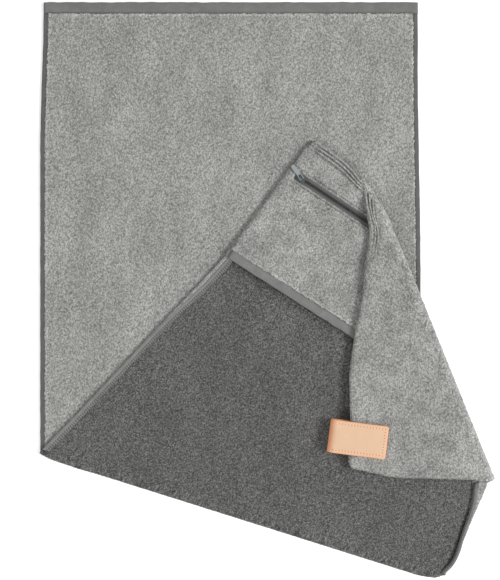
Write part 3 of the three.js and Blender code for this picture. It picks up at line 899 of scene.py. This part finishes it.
upperLook = {
    "clothIn": 0.55, "leftIn": 0.6, "rightIn": 0.5,    # shares of the side hem's width
    "underHood": 14,                                   # the cloth goes on this far under the hood
    "pileSunk": 0.25, "pileRipple": 0.6, "pileThick": 1.2,
    "rightDip": 1.7, "rightDipWide": 4.0,              # the pile dips beside both hems
    "leftDip": 0.7, "leftDipWide": 2.0,
    # hemShade and hoodShade paint shadow onto the pile's tone
    "hemShade": 1.0, "hoodShade": 0.3,                 # darker by the right hem and the hood's hem
    "terryUp": 0.45, "terryThick": 1.0,
    "leftHemWide": 1.25, "leftHemTone": 1.25, "leftHemUp": 0.7,
    "rightHemWide": 0.72, "rightHemTone": 0.92, "rightHemUp": 1.1, "rightHemRaised": 1,
    "stitch": {"step": 2.7, "length": 2.3, "radius": 0.75, "slant": 0.6},
}


def makeUpperPanel():
    look = upperLook
    inset = look["clothIn"] * sideHem
    leftHeading = (hoodLeft - firstStart).normalized()
    leftInward = Vector((leftHeading.y, -leftHeading.x))
    rightHeading = (secondEnd - firstEnd).normalized()
    rightInward = Vector((-rightHeading.y, rightHeading.x))
    firstEdge = lineAt(firstStart, firstAlong)
    leftEdge = lineAt(firstStart + leftInward * inset, leftHeading)
    rightEdge = lineAt(firstEnd + rightInward * inset, rightHeading)
    hidden = lineAt(hoodLeft + openingUp * look["underHood"] * mm, openingHeading)
    visible = [crossing(firstEdge, leftEdge), crossing(leftEdge, hidden), crossing(hidden, secondLine),
               crossing(secondLine, rightEdge), crossing(rightEdge, firstEdge)]
    leftLine = [firstStart + leftInward * sideHem * look["leftIn"],
                hoodLeft + leftInward * sideHem * look["leftIn"] + leftHeading * 3 * mm]
    rightLine = [firstEnd + rightInward * sideHem / 2, secondEnd + rightInward * sideHem / 2]
    tucks = ["upper", "leftTuck", "rightTuck"]
    firstCut = (firstStart, firstOutward)

    def pileSurface(p):
        gap = (edgeGap(p, rightLine[0], rightLine[1]) - sideHem * look["rightIn"]) / mm
        dip = look["rightDip"] * exp(-(max(gap, 0) / look["rightDipWide"]) ** 2)
        gapLeft = (edgeGap(p, leftLine[0], leftLine[1]) - sideHem * look["leftIn"]) / mm
        dip += look["leftDip"] * exp(-(max(gapLeft, 0) / look["leftDipWide"]) ** 2)
        return upperTop - look["pileSunk"] * mm + ripple(p, look["pileRipple"]) - dip * mm

    # painted shadow: a dark band on the pile beside the right hem and a soft one below the hood's hem
    def pileShade(p):
        gap = (edgeGap(p, rightLine[0], rightLine[1]) - sideHem * look["rightIn"]) / mm
        under = edgeGap(p, hoodLeft, openingEnd) / mm
        return (-look["hemShade"] * exp(-((gap - 0.5) / 1.8) ** 2)
                - look["hoodShade"] * exp(-(under / 8) ** 2))

    pile = clothPly(
        "upperPileCloth", visible, pileLook, pileSurface, look["pileThick"] * mm, darkPile,
        "upper_panel", "upper_backing", tucks, follow=True, slot="dark_pile", heading=firstAlong,
        shade=pileShade)
    declare(visible)
    under = clothPly(
        "upperTerryCloth", visible, dict(terryLook, pitch=2.0),
        lambda p: upperUnder + look["terryUp"] * mm, look["terryThick"] * mm, terry, "upper_panel",
        "upper_terry", ["upper"], side=-1, slot="light_terry", heading=firstAlong)
    declare(visible)

    leftCloth = hemCloth("upperLeftHemCloth", leftHeading, tint(hemGrey, look["leftHemTone"]))
    hemBand("upperLeftHem", leftLine, sideHem * look["leftHemWide"], upperUnder,
            upperTop + look["leftHemUp"] * mm, leftCloth, "upper_panel", "upper_left_hem", tucks,
            cut=firstCut)
    rightCloth = hemCloth("upperRightHemCloth", rightHeading, tint(hemGrey, look["rightHemTone"]))
    hemBand("upperRightHem", rightLine, sideHem * look["rightHemWide"],
            upperUnder + look["rightHemRaised"] * mm, upperTop + look["rightHemUp"] * mm, rightCloth,
            "upper_panel", "upper_right_hem", tucks, cut=firstCut)
    for name, line, inward, share, top in (("upperLeftStitches", leftLine, leftInward, 0.16, 0.56),
                                           ("upperLeftStitchesInner", leftLine, leftInward, 0.46, 0.30),
                                           ("upperRightStitches", rightLine, rightInward, 0.2, 1.2)):
        moved = [p + inward * share * sideHem for p in line]
        stitchRow(name, moved, upperTop + top * mm, look["stitch"], hemThread, "upper_panel", tucks)

    # the face cloth curls out past the hem where the hem is drawn in
    for name, start, end, inward, tuck, spare in (
            ("leftTerryCurl", firstStart.lerp(hoodLeft, 0.52), hoodLeft + leftHeading * 12 * mm,
             leftInward, "leftTuck", 0.8),
            ("rightTerryCurl", firstEnd.lerp(secondEnd, 0.40), secondEnd + rightHeading * 2 * mm,
             rightInward, "rightTuck", 1.6)):
        terryRoll(name, pathPoints([start, end], 1.3 * mm), inward,
                  lambda p, t=tuck, w=spare: tuckAt(p, t) + w * mm, (upperUnder, upperTop + 0.1 * mm),
                  "upper_panel", ["upper"])


def terryRoll(name, points, inward, widthAt, heights, body, warps):
    # a narrow roll of looped cloth along an edge, as wide as widthAt says
    sides = 12
    path, widths = [], []
    for p in points:
        width = widthAt(p)
        moved = warped(p + inward * width / 2, warps)
        path.append(Vector((moved.x, moved.y, sum(heights) / 2)))
        widths.append(width)

    def section(k, i):
        fade = smooth(min(i, len(path) - 1 - i + 3) / 6) * 0.8 + 0.2
        aside, rise = squareRound(k, sides, widths[i] / 2, (heights[1] - heights[0]) / 2, 0.75)
        jolt = noise.cell_vector(Vector((i * 1.7, k * 2.3, widths[i] * 50)))
        return (aside * fade + (jolt.x - 0.5) * 0.8 * mm, rise * fade + (jolt.y - 0.5) * 0.9 * mm)

    bm = bmesh.new()
    nap = bm.verts.layers.float.new("nap")
    sweep(bm, path, section, sides)
    for v in bm.verts:
        v[nap] = 0.55 + 0.4 * (noise.cell_vector(v.co / (1.1 * mm)).z - 0.5)
    bmesh.ops.recalc_face_normals(bm, faces=bm.faces)
    return makeObject(bm, name, terry, body, (), "light_terry")


hoodLook = {
    "lap": 1.4,                    # the hood's cloth laps over its hem by this
    "round": {1: 14, 2: 5},        # corner radii
    "sunk": 0.5, "ripple": 1.3, "thick": 1.5, "lip": 1.4,
    "seamReach": 7,                # the two plies close towards the sewn edges over this
    "zipShade": 0.4,
    "liningIn": 4, "liningUp": 1.5, "liningThick": 1.0,
    "underUp": 0.45, "underThick": 1.2,
    "hemStart": 4.5, "hemPast": 6, "hemUp": 0.3, "hemTone": 1.08,
    "seamShare": 0.72, "seamShort": 3.5, "seamSunk": 0.35,
    "stitch": {"step": 2.6, "length": 1.9, "radius": 0.28, "slant": 0.0},
}


def makeHood():
    look = hoodLook
    opening = lineAt(hoodLeft + openingUp * (openingHem - look["lap"] * mm), openingHeading)
    corners = [crossing(opening, lineBetween(hoodLeft, hoodFar)), hoodFar, secondStart,
               crossing(opening, secondLine)]
    outline = roundedCorners(corners, look["round"])
    middle = (upperUnder + hoodTop) / 2
    depth = hoodTop - middle

    def topSurface(p):
        lip = undersideLip(p, hoodSeams, look["seamReach"] * mm, depth)
        return (hoodTop - look["sunk"] * mm - lip + seamRidges(p, hoodSeams[1:], ridgeLook)
                + ripple(p, look["ripple"]) - zipHollow(p) - hoodDrop(p))

    # painted shade in the groove beside the zip and in the seam's grooves, over random blotches
    def topShade(p):
        x, y = zipPlace(p)
        beside = exp(-((abs(y) - slotBox["half"] - 2.6 * mm) / (0.8 * mm)) ** 2)
        beside *= -slotBox["before"] < x < slotBox["after"]
        ridges = ridgeLook["shade"] * seamShade(p, hoodSeams[1:], ridgeLook)
        return blotch(p) - ridges - look["zipShade"] * beside

    def underSurface(p):
        lip = undersideLip(p, hoodSeams, look["seamReach"] * mm, depth)
        return upperUnder + look["underUp"] * mm + lip

    hood = clothPly(
        "hoodTerryCloth", outline, fineTerryLook, topSurface, look["thick"] * mm, terry,
        "upper_panel", "hood_panel", ["upper"], follow=True, rim=1.5, slot="light_terry", heading=zipAlong,
        lip=look["lip"], lipEdges=[(corners[3], corners[0])], shade=topShade)
    cutSlot(hood)
    declare(corners)
    farHeading = (secondStart - hoodFar).normalized()
    farInward = Vector((farHeading.y, -farHeading.x))
    for i, gap in enumerate(ridgeLook["ridges"]):
        reached = crossing(secondLine, lineAt(hoodFar + farInward * gap * mm, farHeading))
        makeRidge("hoodRidge%d" % (i + 1), hoodFar + farHeading * (7 + 0.4 * gap) * mm,
                  reached - farInward * gap * mm, farInward, gap, topSurface, "upper_panel", ["upper"])
    lining = [c + (sum(corners, Vector((0, 0))) / 4 - c).normalized() * look["liningIn"] * mm
              for c in corners]
    dark = clothPly(
        "hoodLiningCloth", lining, hiddenLook, lambda p: upperTop + look["liningUp"] * mm,
        look["liningThick"] * mm, darkPile, "upper_panel", "hood_lining", ["upper"],
        slot="dark_pile", heading=zipAlong)
    declare(lining)

    # the towel's own end under the hood, turned up at the sewn edges to meet the hood panel
    end = [hoodLeft, hoodFar, secondStart, openingEnd]
    under = clothPly(
        "hoodUnderTerry", roundedCorners(end, {1: look["round"][1]}), dict(terryLook, pitch=2.0),
        underSurface, look["underThick"] * mm, terry, "upper_panel", None, ["upper"], side=-1,
        follow=True, rim=0.6, slot="light_terry", heading=zipAlong)
    declare(end)

    hemMiddle = openingUp * openingHem / 2
    line = [hoodLeft + hemMiddle + openingHeading * look["hemStart"] * mm,
            openingEnd + hemMiddle + openingHeading * look["hemPast"] * mm]
    cloth = hemCloth("hoodHemCloth", openingHeading, tint(hemGrey, look["hemTone"]))
    hemBand("hoodOpeningHem", line, openingHem, upperTop + look["hemUp"] * mm,
            hoodTop - look["hemUp"] * mm, cloth, "upper_panel", "hood_opening_hem", ["upper"], cut=hemCut)
    seamStart = line[0] + hemMiddle * look["seamShare"]
    seamLine = lineAt(seamStart, openingHeading)
    seam = [seamStart, crossing(seamLine, secondLine) - openingHeading * look["seamShort"] * mm]
    stitchRow("hoodHemStitches", seam, hoodTop - look["seamSunk"] * mm, look["stitch"], paleThread,
              "upper_panel", ["upper"])


zipSide = Vector((-zipAlong.y, zipAlong.x))
slotBox = {"before": 8 * mm, "after": 99 * mm, "half": 5.0 * mm}


def inZip(x, y):
    return zipCentre.xy + zipAlong * x + zipSide * y


def zipPlace(point):
    away = point - zipCentre.xy
    return away.dot(zipAlong), away.dot(zipSide)


def zipHollow(point):
    # the terry dips to the zip, with a stitched groove just outside it
    x, y = zipPlace(point)
    beyond = max(-slotBox["before"] - x, x - slotBox["after"], 0)
    gap = hypot(max(abs(y) - slotBox["half"], 0), beyond) / mm
    dip = 0.9 * exp(-(gap / 1.4) ** 2)
    groove = 0.55 * exp(-((gap - 3.0) / 0.7) ** 2)
    ridge = 0.5 * exp(-((gap - 1.7) / 0.8) ** 2)
    return (dip + groove - ridge) * mm


def makeRidge(name, start, end, inward, gap, surface, body, warps, fade=0.0):
    # one stitched ridge of the closed end's seam, sunk in the cloth
    points = pathPoints([start + inward * gap * mm, end + inward * gap * mm], 1.3 * mm)
    path, sides = [], 8
    for p in points:
        moved = warped(p, warps)
        path.append(Vector((moved.x, moved.y, surface(p) + 0.35 * mm)))

    def section(k, i):
        angle = 2 * pi * k / sides
        share = 1 - fade * smooth(i / len(path))
        knobs = 1 + 0.7 * noise.noise(Vector((i * 0.9, k * 0.8, gap)))
        reach = ridgeLook["ridgeRadius"] * mm * share * knobs
        reach *= 0.3 + 0.7 * smooth(i / 8)
        return cos(angle) * reach, sin(angle) * reach - (1 - share) * mm

    bm = bmesh.new()
    nap = bm.verts.layers.float.new("nap")
    sweep(bm, path, section, sides)
    for v in bm.verts:
        # painted highlight: the raised cords' tone sits a little above the terry's middle
        v[nap] = ridgeLook["ridgeTone"] + 0.5 * (noise.cell_vector(v.co / (1.2 * mm)).z - 0.5)
    bmesh.ops.recalc_face_normals(bm, faces=bm.faces)
    makeObject(bm, name, terry, body, (), "light_terry")


zipLook = {
    "tapeInner": 0.6, "tapeOuter": 6.8, "tapeTop": 9.9, "tapePitch": 1.5, "tapeThick": 0.6,
    "tapeTone": (0.145, 0.145, 0.142), "coilTone": (0.052, 0.052, 0.051),
    "seamTone": (0.028, 0.028, 0.028),
    "coilHeight": 10.5, "coilPitch": 1.25, "coilAside": 1.15, "coilStart": 6,
    "seamAside": 3.1, "seamSunk": 0.1, "seamDip": 0.35,
}


def makeZip():
    look = zipLook
    start, end = -slotBox["before"] + 0.5 * mm, slotBox["after"] - 0.5 * mm
    tape = hemCloth("zipTapeCloth", zipAlong, look["tapeTone"])
    coil = threadMaterial("zipCoil", look["coilTone"])
    seam = threadMaterial("zipSeam", look["seamTone"])
    seamStitch = {"step": 2.4, "length": 1.9, "radius": 0.22, "slant": 0.0}
    for name, side in (("Far", 1), ("Near", -1)):
        inner = side * look["tapeInner"] * mm
        outer = side * look["tapeOuter"] * mm
        corners = [inZip(start, inner), inZip(end, inner), inZip(end, outer), inZip(start, outer)]
        bm = gridPatch(corners, look["tapePitch"] * mm, zipAlong)
        bmesh.ops.solidify(bm, geom=bm.faces[:], thickness=look["tapeThick"] * mm)
        for v in bm.verts:
            aside = abs(zipPlace(v.co.xy)[1]) / mm
            dip = look["seamDip"] * mm * exp(-((aside - look["seamAside"]) / 0.6) ** 2)
            v.co.z += look["tapeTop"] * mm - dip
        bmesh.ops.recalc_face_normals(bm, faces=bm.faces)
        makeObject(bm, "zipTape" + name, tape, "upper_panel", ["zip_tape_" + name.lower()], "zip_tape")
        coilSide = side * look["coilAside"] * mm
        line = [inZip(start + look["coilStart"] * mm, coilSide), inZip(end, coilSide)]
        if side > 0:
            line = [p + zipAlong * look["coilPitch"] * mm / 2 for p in line]
        turn = {"step": look["coilPitch"], "length": 2.3, "radius": 0.44, "slant": radians(80) * side}
        row = stitchRow("zipCoil" + name, line, look["coilHeight"] * mm, turn, coil, "upper_panel",
                        slot="zip_coil")
        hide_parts("zip_coil_" + name.lower())
        seamSide = side * look["seamAside"] * mm
        line = [inZip(start, seamSide), inZip(end, seamSide)]
        height = look["tapeTop"] * mm - look["seamSunk"] * mm
        stitchRow("zipSeam" + name, line, height, seamStitch, seam, "upper_panel", slot="zip_tape")


def cutSlot(piece):
    # takes the hood's faces away over the zip, then closes the slot's walls
    bm = bmesh.new()
    bm.from_mesh(piece.data)
    for x, y, nx, ny in ((-slotBox["before"], 0, -1, 0), (slotBox["after"], 0, 1, 0),
                         (0, slotBox["half"], 0, 1), (0, -slotBox["half"], 0, -1)):
        spot = inZip(x, y)
        normal = zipAlong * nx + zipSide * ny
        bmesh.ops.bisect_plane(bm, geom=bm.verts[:] + bm.edges[:] + bm.faces[:], dist=1e-6,
                               plane_co=(spot.x, spot.y, 0), plane_no=(normal.x, normal.y, 0))
    inside = []
    for face in bm.faces:
        x, y = zipPlace(face.calc_center_median().xy)
        if -slotBox["before"] < x < slotBox["after"] and abs(y) < slotBox["half"]:
            inside.append(face)
    bmesh.ops.delete(bm, geom=inside, context="FACES")
    rims = [e for e in bm.edges if e.is_boundary]
    bmesh.ops.bridge_loops(bm, edges=rims)
    bmesh.ops.recalc_face_normals(bm, faces=bm.faces)
    for face in bm.faces:
        face.smooth = True
    bm.to_mesh(piece.data)
    bm.free()


makeUpperPanel()
makeHood()
makeZip()
print("upper panel and hood made")


# second fold and flap

flapWarps = ["upper", "flap", "lift"]
flapSeams = [(secondStart, flapCorner), (flapCorner, secondEnd)]


foldLook = {
    "sunk": 0.5, "underUp": 0.4,               # the roll ends at the plies' own heights
    "closeOver": 12, "close": 0.35,            # and is smaller at its start
    "outerTuck": 2.5, "innerTuck": 0.4, "thick": 1.0,
    "outerMargin": 5, "innerMargin": 1,        # what each cloth adds past its half round
}


def makeSecondFold():
    outward = -secondInward
    length = (secondEnd - secondStart).length

    def topAt(s):
        return flapTop - foldLook["sunk"] * mm - flapDrop(secondStart + secondAlong * s)

    def bottomAt(s):
        return upperUnder + foldLook["underUp"] * mm

    def centre(s):
        return (topAt(s) + bottomAt(s)) / 2

    def radiusFrom(skin):
        def radius(s):
            close = 1 - smooth(1 - s / (foldLook["closeOver"] * mm)) * foldLook["close"]
            return ((topAt(s) - bottomAt(s)) / 2 - skin) * close
        return radius

    blend = ("upper_panel", "corner_flap", (*secondStart, hoodTop - 1 * mm),
             (*secondStart, flapUnder - 0.5 * mm))
    # the outer terry's roll gets a painted highlight on its outward face
    outerLook = dict(fineTerryLook, edgeTone=0.3)
    coarse = dict(hiddenLook, pitch=3.0)
    layers = (
        ("secondFoldTerry", 0.0, outerLook, terry, "second_fold_terry", "light_terry"),
        ("secondFoldPile", 2.2 * mm, coarse, darkPile, "second_fold_backing", "dark_pile"),
        ("secondFoldLining", 3.8 * mm, coarse, darkPile, "second_fold_lining", "dark_pile"),
        ("secondFoldHoodTerry", 5.4 * mm, dict(terryLook, pitch=2.4), terry,
         "second_fold_hood_terry", "light_terry"),
    )
    for name, skin, look, material, node, slot in layers:
        radius = radiusFrom(skin)
        place = "outer" if skin == 0 else "inner"
        roll = foldRoll(name, secondStart, secondAlong, outward, length, centre, radius, look, material,
                        blend, node, flapWarps, slot, tuck=foldLook[place + "Tuck"] * mm,
                        thickness=foldLook["thick"] * mm)
        arc = pi * radius(length / 2) + foldLook[place + "Margin"] * mm


flapLook = {
    "round": {0: 9},               # corner radius
    "sunk": 0.5, "thick": 1.5, "seamReach": 6.5, "seamClose": 0.4,
    "ridgeReach": 150,             # the closed end's ridges die away over this
    "coreIn": 14, "coreAtFold": 2,     # how far in the hidden plies end
    "pileDown": 2.4, "liningDown": 4.0, "coreThick": 1.0,
}


def makeFlap():
    look = flapLook
    corners = [flapCorner, secondStart, secondEnd]
    outline = roundedCorners(corners, look["round"])
    middle = (flapUnder + flapTop) / 2
    depth = flapTop - middle - look["seamClose"] * mm

    def topSurface(p):
        fade = smooth(1 - (p - secondStart).length / (look["ridgeReach"] * mm))
        return (flapTop - look["sunk"] * mm - flapDrop(p)
                - undersideLip(p, flapSeams, look["seamReach"] * mm, depth)
                + fade * seamRidges(p, flapSeams[:1], ridgeLook))

    # painted shade in the seam's grooves, over random blotches
    def topShade(p):
        fade = smooth(1 - (p - secondStart).length / (look["ridgeReach"] * mm))
        return blotch(p) - fade * ridgeLook["shade"] * seamShade(p, flapSeams[:1], ridgeLook)

    def underSurface(p):
        return (flapUnder + look["sunk"] * mm - flapDrop(p)
                + undersideLip(p, flapSeams, look["seamReach"] * mm, depth))

    top = clothPly(
        "flapTerryCloth", outline, fineTerryLook, topSurface, look["thick"] * mm, terry,
        "corner_flap", "flap_terry", flapWarps, follow=True, rim=0.8, slot="light_terry",
        heading=secondAlong, shade=topShade)
    declare(corners)
    edgeHeading = (flapCorner - secondStart).normalized()
    edgeInward = Vector((-edgeHeading.y, edgeHeading.x))
    for i, gap in enumerate(ridgeLook["ridges"]):
        reached = crossing(secondLine, lineAt(secondStart + edgeInward * gap * mm, edgeHeading))
        makeRidge("flapRidge%d" % (i + 1), reached - edgeInward * gap * mm,
                  secondStart + edgeHeading * ridgeLook["flapRun"] * mm, edgeInward, gap, topSurface,
                  "corner_flap", flapWarps, fade=0.8)
    under = clothPly(
        "flapHoodTerryCloth", outline, dict(fineTerryLook, pitch=1.8), underSurface,
        look["thick"] * mm, terry, "corner_flap", "flap_hood_panel", flapWarps, side=-1,
        follow=True, rim=0.8, slot="light_terry", heading=secondAlong)
    declare(corners)
    core = sum(corners, Vector((0, 0))) / 3
    inner = [c + (core - c).normalized() * look["coreIn"] * mm for c in corners]
    inner[1:] = [c + (core - c).normalized() * look["coreAtFold"] * mm for c in corners[1:]]
    for name, node, drop in (("flapPileCloth", "flap_backing", look["pileDown"]),
                             ("flapLiningCloth", "flap_hood_lining", look["liningDown"])):
        ply = clothPly(
            name, inner, hiddenLook, lambda p, d=drop: flapTop - d * mm - flapDrop(p),
            look["coreThick"] * mm, darkPile, "corner_flap", node, flapWarps, follow=True,
            slot="dark_pile", heading=secondAlong)
        declare(inner)


def makeFlapHem():
    # the hood's opening hem goes on along the flap's underside
    low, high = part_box("flap_hood_hem")
    start, end = Vector((low[0], high[1])), Vector((high[0], low[1]))
    span = end - start
    angle = atan2(span.y, span.x) - asin(openingHem / span.length)
    heading = Vector((cos(angle), sin(angle)))
    aside = Vector((-heading.y, heading.x)) * openingHem / 2
    line = lineAt(start + aside, heading)
    ends = [crossing(line, secondLine), end - aside - heading * 7 * mm]
    cloth = hemCloth("flapHemCloth", heading, tint(hemGrey, 1.25))
    hemBand("flapHoodHem", ends, openingHem, low[2] + 0.3 * mm, high[2], cloth, "corner_flap",
            "flap_hood_hem", flapWarps, drop=flapDrop, cut=hemCut)


makeSecondFold()
makeFlap()
makeFlapHem()
print("second fold and flap made")


# leather clip

clipLook = {
    "cover": 1.6 * mm, "lining": 0.9 * mm, "magnetRoom": 1.5 * mm, "liningIn": 1.2 * mm,
    "pitch": 0.7 * mm, "round": 2.2 * mm, "slim": 0.35 * mm, "rim": 0.9,
    "inset": 3.6, "step": 3.5, "stitchStart": 6 * mm, "stitchSunk": 0.12 * mm,
}


def makeClip():
    look = clipLook
    low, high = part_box("clip_cover")
    middleZ = (low[2] + high[2]) / 2
    outer = (high[2] - low[2]) / 2
    across = Vector((-clipAlong.y, clipAlong.x))
    length = (high[0] - low[0] - clipWidth * abs(clipAlong.y)) / clipAlong.x
    fold = clipMiddle - clipAlong * length / 2     # the folded end
    for name, radius, thickness, material, node, slot, inset in (
            ("clipCoverLeather", outer, look["cover"], tanLeather, "clip_cover", "clip_leather", 0.0),
            ("clipLiningSuede", outer - look["cover"] - look["magnetRoom"], look["lining"], suede,
             "clip_lining", "clip_suede", look["liningIn"])):
        leaf = length - outer - inset
        arc = pi * (radius - thickness / 2)
        total = 2 * leaf + arc
        width = clipWidth - 2 * inset
        bm = bmesh.new()
        bmesh.ops.create_grid(bm, x_segments=ceil(total / look["pitch"]),
                              y_segments=ceil(width / look["pitch"]), size=0.5)
        rim = bm.verts.layers.float.new("rim")
        made = bmesh.ops.extrude_face_region(bm, geom=bm.faces[:])["geom"]
        back = {g for g in made if isinstance(g, bmesh.types.BMVert)}
        for v in bm.verts:
            s = (v.co.x + 0.5) * total
            w = v.co.y * width
            end = min(s, total - s)
            side = width / 2 - abs(w)
            # rounded corners, a softly crowned face and thinner edges
            corner = look["round"]
            if end < corner and side < corner:
                pull = corner - hypot(corner - end, corner - side)
                if pull < 0:
                    s += (1 if s < total / 2 else -1) * -pull * 0.7
                    w -= (1 if w > 0 else -1) * -pull * 0.7
            edge = min(end, side)
            slim = look["slim"] * exp(-(edge / (0.7 * mm)) ** 2)
            depth = thickness - slim if v in back else slim
            reach = radius - depth
            if s < leaf:
                place, height = outer + leaf - s, -reach
            elif s > leaf + arc:
                place, height = outer + s - leaf - arc, reach
            else:
                turn = -pi / 2 - (s - leaf) / arc * pi
                place, height = outer + cos(turn) * reach, sin(turn) * reach
            spot = fold + clipAlong * place + across * w
            v.co = (spot.x, spot.y, middleZ + height)
            burnish = exp(-((edge / mm) / look["rim"]) ** 3)
            # painted light: the folded end takes the bright edge colour, partly its own rubbed orange and
            # partly lightened against the shade it lies in
            bend = smooth((outer * 0.75 - place) / (outer * 0.6))
            # painted shade: a faint tint towards the edge colour along the stitch line, for a sunk groove the
            # mesh does not have
            groove = 0.25 * exp(-((edge / mm - look["inset"]) / 0.8) ** 2)
            v[rim] = max(burnish if name == "clipCoverLeather" else 0.3, bend * 0.85, groove)
        bmesh.ops.recalc_face_normals(bm, faces=bm.faces)
        makeObject(bm, name, material, "magnet_clip", [node], slot)

    inner = clipWidth / 2 - look["inset"] * mm
    near, far = look["stitchStart"], length - look["inset"] * mm
    path = [fold + clipAlong * near + across * inner, fold + clipAlong * far + across * inner,
            fold + clipAlong * far - across * inner, fold + clipAlong * near - across * inner]
    thread = {"step": look["step"], "length": 2.4, "radius": 0.45, "slant": 0.0}
    hole = {"step": look["step"], "length": 1.2, "radius": 0.54, "slant": 0.0, "share": 1.0}
    for side, height in (("Upper", outer - look["stitchSunk"]), ("Lower", -outer + look["stitchSunk"])):
        stitchRow("clipStitches" + side, path, middleZ + height, thread, clipThread, "magnet_clip",
                  slot="clip_leather")
        # dark beads between them, painted shade in the needle holes
        stitchRow("clipHoles" + side, path, middleZ + height, hole, clipHole, "magnet_clip",
                  slot="clip_leather")


makeClip()
print("clip made")


# stage, camera and lights

stageLook = {
    "floorTone": 0.93, "floorGlow": 0.25, "floorDown": 0.0002, "worldLight": 0.56,
    "lights": {"keyLight": {"place": (2.0, -0.25, 2.1), "size": 1.0, "power": 60.0},
               "fillLight": {"place": (-0.9, -1.0, 1.6), "size": 1.4, "power": 11.0}},
    "lens": 85, "frameHeight": 0.6573, "centre": (-0.0213, 0.0009), "level": 6 * mm,
}


def makeStage():
    look = stageLook
    bpy.ops.mesh.primitive_plane_add(size=8, location=(0, 0, -look["floorDown"]))
    floor = bpy.context.object
    floor.name = "paleFloor"
    material, nodes, links, shader = newMaterial("paleFloor")
    shader.inputs["Base Color"].default_value = (*tint((1, 1, 1), look["floorTone"]), 1)
    shader.inputs["Roughness"].default_value = 0.9
    shader.inputs["Emission Color"].default_value = (1, 1, 1, 1)
    shader.inputs["Emission Strength"].default_value = look["floorGlow"]
    floor.data.materials.append(material)
    for name, given in look["lights"].items():
        light = bpy.data.lights.new(name, "AREA")
        light.size = given["size"]
        light.energy = given["power"]
        lamp = bpy.data.objects.new(name, light)
        lamp.location = given["place"]
        lamp.rotation_euler = (Vector((0, 0, 0)) - Vector(given["place"])).to_track_quat("-Z", "Y").to_euler()
        bpy.context.scene.collection.objects.link(lamp)
    world = bpy.data.worlds.new("studio")
    world.use_nodes = True
    backdrop = world.node_tree.nodes["Background"]
    backdrop.inputs["Color"].default_value = (1, 1, 1, 1)
    backdrop.inputs["Strength"].default_value = look["worldLight"]
    bpy.context.scene.world = world
    bpy.context.scene.view_settings.view_transform = "Standard"


def makeCamera():
    lens = bpy.data.cameras.new("camera")
    lens.lens = stageLook["lens"]
    camera = bpy.data.objects.new("camera", lens)
    distance = stageLook["frameHeight"] * lens.lens / lens.sensor_width
    camera.location = (*stageLook["centre"], distance + stageLook["level"])
    bpy.context.scene.collection.objects.link(camera)
    bpy.context.scene.camera = camera


makeStage()
makeCamera()

# CAD nodes that stay
for names, material in ((("zip_pull",), zipMetal),
                        (("zip_slider", "zip_top_stop", "zip_bottom_stop"), darkMetal),
                        (("clip_magnet_upper", "clip_magnet_lower"), darkMetal)):
    for name in names:
        node = frame["nodes"][name]
        node.data.materials.clear()
        node.data.materials.append(material)
